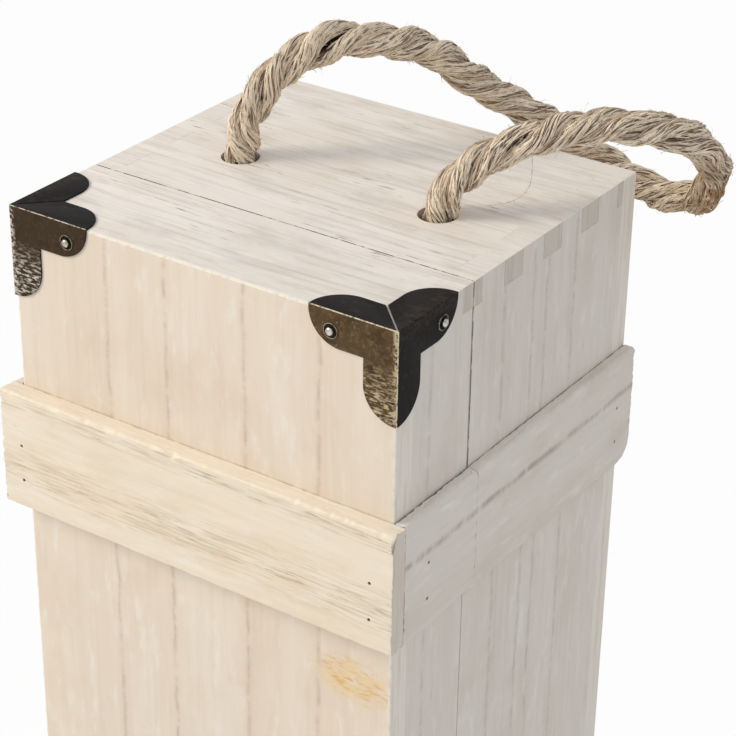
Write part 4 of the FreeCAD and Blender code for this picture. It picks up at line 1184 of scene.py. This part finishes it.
# %% Bracket finish
bracket_brass, tree, shader, at = new_material("blackened_bracket_brass", "#1D1917", 0.55)
normal = add_node(tree, "ShaderNodeTexCoord").outputs["Normal"]
marked = add_node(tree, "ShaderNodeAttribute", attribute_name="mark").outputs["Fac"]
place = add_node(tree, "ShaderNodeSeparateXYZ", {"Vector": at})
facing = add_node(tree, "ShaderNodeVectorMath", {0: normal, 1: -AXES[1]}, operation="DOT_PRODUCT")
front = add_node(tree, "ShaderNodeMapRange", {"Value": facing, "From Min": 0.5, "From Max": 0.75})
leg = add_node(tree, "ShaderNodeMapRange", {
    "Value": place.outputs["Z"], "From Min": TOP_Z - 11 * MM, "From Max": TOP_Z - 22 * MM, "To Max": front})
left = add_node(tree, "ShaderNodeMapRange", {
    "Value": place.outputs["X"], "From Min": 20 * MM, "From Max": -20 * MM, "To Max": 0.7})
width = add_node(tree, "ShaderNodeMath", {0: place.outputs["X"]}, operation="ABSOLUTE")
corner = add_node(tree, "ShaderNodeMath", {0: width, 1: place.outputs["Z"]})
fold = add_node(tree, "ShaderNodeMapRange", {
    "Value": corner, "From Min": FRONT_HIGH.x + TOP_Z - 4.5 * MM,
    "From Max": FRONT_HIGH.x + TOP_Z - 1.5 * MM, "To Max": 0.5})
beside = add_node(tree, "ShaderNodeMapRange", {
    "Value": width, "From Min": FRONT_HIGH.x - 1.6 * MM, "From Max": FRONT_HIGH.x - 0.4 * MM,
    "To Max": front})
brown = layered(tree, at, "#5A4830", ("#3A2D1E", (6, 6, 6), 0.52, 0.36, 0.7),
                ("#77634A", (1.8, 1.8, 1.8), 0.48, 0.66, 0.6), ("#A08B66", (0.9, 0.9, 0.9), 0.62, 0.72, 0.5))
worn = layered(tree, at, "#C6B693", ("#D9D3C9", left))
brown = layered(tree, at, brown, ("#33271F", left), (worn, (2.8, 2.8, 0.85), 0.48, 0.60, leg),
                (worn, (1, 1, 1), 0.48, 0.56, beside), ("#3A2C1B", (2.8, 2.8, 0.85), 0.42, 0.34, leg))
black = layered(tree, at, "#151110", ("#2C2621", (5, 2.5, 2.5), 0.54, 0.70, 0.8),
                ("#4A3F35", (3, 1.2, 1.2), 0.42, 0.66, fold))
# Negative marks, chiefly the eyelet floor round each nail, are painted near black as shade.
eyelet_shade = add_node(tree, "ShaderNodeMath", {0: marked, 1: -1.0}, operation="MULTIPLY")
colour = layered(tree, at, black, (brown, front), ("#E2D6BB", (1.3, 1.3, 1.3), 0.34, 0.50, marked),
                 ("#0B0908", eyelet_shade))
finish_with(tree, shader, colour, 0.35, strength=0.6)
shader.inputs["Specular IOR Level"].default_value = 0.08
print("material", bracket_brass.name)

# %% Corner brackets and their nails
for side in ("left", "right"):
    node = "corner_bracket_" + side
    low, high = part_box(node)
    front_folds = (Vector((low.x if side == "left" else high.x, low.y, high.z)),) * 2
    bracket = eased(node, node + "_sheet", bracket_brass, "antique_bracket_metal", SHEET_ANGLE,
                    0.28, 0.25, front_folds, 0.0, needed=1)
    print(bracket.name, len(bracket.data.polygons), "faces")

NAIL_RISE = 1.5 * MM
nail_places = [(point - AXES[axis] * sign * NAIL_RISE, axis, sign)
               for point, axis, sign in heads_of("corner_bracket_nails")]
# The eyelet's floor carries a negative mark, which the bracket finish paints near black as shade round the
# nail head.
eyelet = turned_head("eyelet", [
    (2.75, -0.2, 0), (2.75, 0.05, 0), (2.65, 0.28, 0.3), (2.5, 0.34, 0.45), (2.35, 0.28, 0.3),
    (2.2, 0.06, -0.8), (0.4, 0.05, -0.8)], bracket_brass)
nail_head = turned_head("nail_head", [
    (0.9, -7.5, 0), (0.9, 0.35, 0), (1.3, 0.45, 0), (1.4, 0.7, 0), (1.3, 1.05, 0), (0.9, 1.35, 0),
    (0.35, 1.48, 0)], nail_steel)
for name, head, metal, slot in (("bracket_eyelets", eyelet, bracket_brass, "antique_bracket_metal"),
                                ("bracket_nail_heads", nail_head, nail_steel, "fastener_metal")):
    set_out(name, head, nail_places, metal, slot, "corner_bracket_nails")
for pattern in (brad_head, screw_head, eyelet, nail_head):
    bpy.data.objects.remove(pattern)

# %% [markdown]
# Hinges, pins, latch and candle pan keep their CAD shapes with softened edges: stamped sheet has
# a small radius everywhere. They are antique brass, except the pan, which is blackened iron.

# %% Hinges, latch and candle pan
FITTINGS = ("upper_hinge_case_leaf", "lower_hinge_case_leaf", "upper_hinge_door_leaf",
            "lower_hinge_door_leaf", "upper_hinge_pin", "lower_hinge_pin", "latch_plate", "latch_keeper",
            "latch_hook")
for node in FITTINGS:
    eased(node, node + "_metal", hardware_brass, "antique_hardware_metal", TRIM_ANGLE, 0.18, 0.1)
eased("candle_pan", "candle_pan_metal", blackened_iron, "blackened_iron", TRIM_ANGLE, 0.25, 0.1)
print("fittings", len(FITTINGS) + 1)

# %% [markdown]
# The panes are clear float glass with ground edges. Transmission makes it clear, and a faint
# green tint shows at the edge, as in real window glass. Old fingermarks make it a little rough.

# %% Window panes
pane_glass, tree, shader, at = new_material("clear_float_glass", "#F2F8F5", 0.02)
shader.inputs["Transmission Weight"].default_value = 1.0
shader.inputs["IOR"].default_value = 1.5
smears = mask(tree, at, (40, 40, 60), 0.40, 0.75, 0.07)
tree.links.new(smears.outputs[0], shader.inputs["Roughness"])
for pane in PANES:
    eased(pane + "_glass", pane + "_pane", pane_glass, "window_glass", BOARD_ANGLE, 0.3, 1)
print("material", pane_glass.name)

# %% [markdown]
# The candle is a cast pillar of ivory wax that has burned once: its rim is soft and uneven, and
# the pool round the wick is shallow. It could be a plain cylinder, but a turned profile with noise
# at the rim shows the slump. Wax lets light in, so it has some subsurface scattering.

# %% Candle
wax, tree, shader, at = new_material("ivory_candle_wax", "#F3E9D2", 0.42)
cast = layered(tree, at, "#EDE0C4", ("#F7F0DF", (14, 14, 20), 0.35, 0.65, 1.0))
finish_with(tree, shader, cast, 0.5, strength=0.15)
shader.inputs["Subsurface Weight"].default_value = 0.35
shader.inputs["Subsurface Radius"].default_value = (0.006, 0.004, 0.002)
shader.inputs["Subsurface Scale"].default_value = 1.0

CANDLE_PROFILE = [(2.4, -94.6), (28.9, -94.9), (29.6, -94.0), (29.7, -60.0), (29.75, -25.0), (29.8, -6.0),
                  (29.5, -3.2), (28.6, -1.2), (27.0, -0.3), (25.0, -0.2), (22.0, -1.0), (18.0, -2.0),
                  (10.0, -2.7), (3.0, -2.6), (1.2, -2.2), (0.2, -2.2)]
CANDLE_SIDES, OUT_OF_ROUND = 72, 0.006
RIM_Z_MM, RIM_REACH_MM, POOL_RADIUS_MM = -1.0, 6, 15
low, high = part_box("candle")
candle_middle = Vector(((low.x + high.x) / 2, (low.y + high.y) / 2, high.z))
rings = []
for r, z in CANDLE_PROFILE:
    ring = []
    for toward in map(outward, turns(CANDLE_SIDES)):
        slump = noise.noise(toward * 1.4 + Vector((0, 0, z * 0.05)))
        near_rim = max(0.0, 1 - abs(z - RIM_Z_MM) / RIM_REACH_MM) if r > POOL_RADIUS_MM else 0.0
        ring.append(candle_middle + toward * r * (1 + OUT_OF_ROUND * slump) * MM
                    + AXES[2] * (z - near_rim * (0.5 + 0.9 * slump)) * MM)
    rings.append(ring)
work = bmesh.new()
skin(work, rings)
stand_for(piece_from(work, "pillar_candle", wax, HEAD_ANGLE), "candle_wax", "candle")
print("candle of", round((high.x - low.x) / MM, 1), "mm")

# %% [markdown]
# The wick is a short braided cotton cord. Its top is charred, so the colour turns black with
# height.

# %% Wick
cotton, tree, shader, at = new_material("charred_cotton_wick", "#D8CDB8", 0.9)
low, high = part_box("candle_wick")
height = add_node(tree, "ShaderNodeSeparateXYZ", {"Vector": at}).outputs["Z"]
burnt = add_node(tree, "ShaderNodeMapRange", {
    "Value": height, "From Min": low.z + 3 * MM, "From Max": high.z - 2 * MM})
thread = layered(tree, at, "#B9AC92", ("#EDE5D4", (0.4, 0.4, 1.2), 0.35, 0.65, 1.0), ("#15110E", burnt))
finish_with(tree, shader, thread, 0.1)
WICK_ROWS, WICK_SIDES, WICK_RADIUS_MM = 26, 12, 0.74
WICK_LEAN, PLAIT_MM, PLAIT_TWIST = 0.16 * MM, 0.09, 14
rings = []
for i in range(WICK_ROWS):
    share = i / (WICK_ROWS - 1)
    middle = Vector((candle_middle.x + WICK_LEAN * math.sin(2.5 * share), candle_middle.y,
                     low.z + (high.z - low.z) * share))
    narrowing = 1 - 1.25 * max(0.0, share - 0.8)
    rings.append([middle + outward(turn)
                  * ((WICK_RADIUS_MM + PLAIT_MM * math.cos(3 * turn - PLAIT_TWIST * share)) * narrowing * MM)
                  for turn in turns(WICK_SIDES)])
work = bmesh.new()
skin(work, rings)
stand_for(piece_from(work, "braided_wick", cotton, ROPE_ANGLE), "cotton_wick", "candle_wick")
print("wick of", round((high.z - low.z) / MM, 1), "mm")

# %% [markdown]
# A plain stage: a pale floor, a large soft key light from the front left, as the shadows in the
# photograph say, and an even cool sky. Camera, glossy and transmission rays see white, so the
# background is white and the glass shows it too. The floor still takes part of the shadow.

# %% Floor and world
def seen_directly(tree):
    """1 for rays from the camera, from gloss and through glass, and 0 for all others."""
    rays = add_node(tree, "ShaderNodeLightPath").outputs
    mirrored = add_node(tree, "ShaderNodeMath", {0: rays["Is Camera Ray"], 1: rays["Is Glossy Ray"]},
                        operation="MAXIMUM")
    return add_node(tree, "ShaderNodeMath", {0: mirrored, 1: rays["Is Transmission Ray"]},
                    operation="MAXIMUM")


FLOOR_GLOW, FLOOR_SIZE = 0.94, 4.0
pale_floor, tree, shader, at = new_material("pale_studio_floor", "#F4F2EE", 0.9)
white = add_node(tree, "ShaderNodeEmission", {"Color": "#FFFFFF", "Strength": 1.0})
glow = add_node(tree, "ShaderNodeMath", {0: seen_directly(tree), 1: FLOOR_GLOW}, operation="MULTIPLY")
floor_mix = add_node(tree, "ShaderNodeMixShader", {0: glow, 1: shader, 2: white})
tree.links.new(floor_mix.outputs[0], tree.nodes["Material Output"].inputs["Surface"])
work = bmesh.new()
bmesh.ops.create_grid(work, x_segments=1, y_segments=1, size=FLOOR_SIZE)
piece_from(work, "studio_floor", pale_floor)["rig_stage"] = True

SKY_COLOUR, SKY_LEVEL = (0.91, 0.95, 1.0, 1.0), 0.64
world = bpy.data.worlds.new("studio")
scene.world = world
world.use_nodes = True
tree = world.node_tree
sky = tree.nodes["Background"]
sky.inputs["Color"].default_value = SKY_COLOUR
sky.inputs["Strength"].default_value = SKY_LEVEL
backdrop = add_node(tree, "ShaderNodeBackground", {"Color": "#FFFFFF", "Strength": 1.0})
both = add_node(tree, "ShaderNodeMixShader", {0: seen_directly(tree), 1: sky, 2: backdrop})
tree.links.new(both.outputs[0], tree.nodes["World Output"].inputs["Surface"])
print("floor and world", world.name)

# %% Key light
KEY_PLACE, KEY_AIM = Vector((-1.5, -1.25, 1.75)), Vector((0, 0, 0.4))
KEY_SIZE, KEY_WATTS, KEY_COLOUR = 0.9, 27, "#FFF3E4"
key_data = bpy.data.lights.new("key_window", "AREA")
key_data.size, key_data.energy, key_data.color = KEY_SIZE, KEY_WATTS, linear(KEY_COLOUR)[:3]
stand_at("key_window", key_data, KEY_PLACE, (KEY_AIM - KEY_PLACE).to_track_quat("-Z", "Y"))
print("lamp", key_data.name, key_data.energy, "W")

# %% [markdown]
# Last, the size of the dressed model is printed.

# %% Sizes and finish
low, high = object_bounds()
print("visual box", [round(v / MM, 1) for v in (*low, *high)])
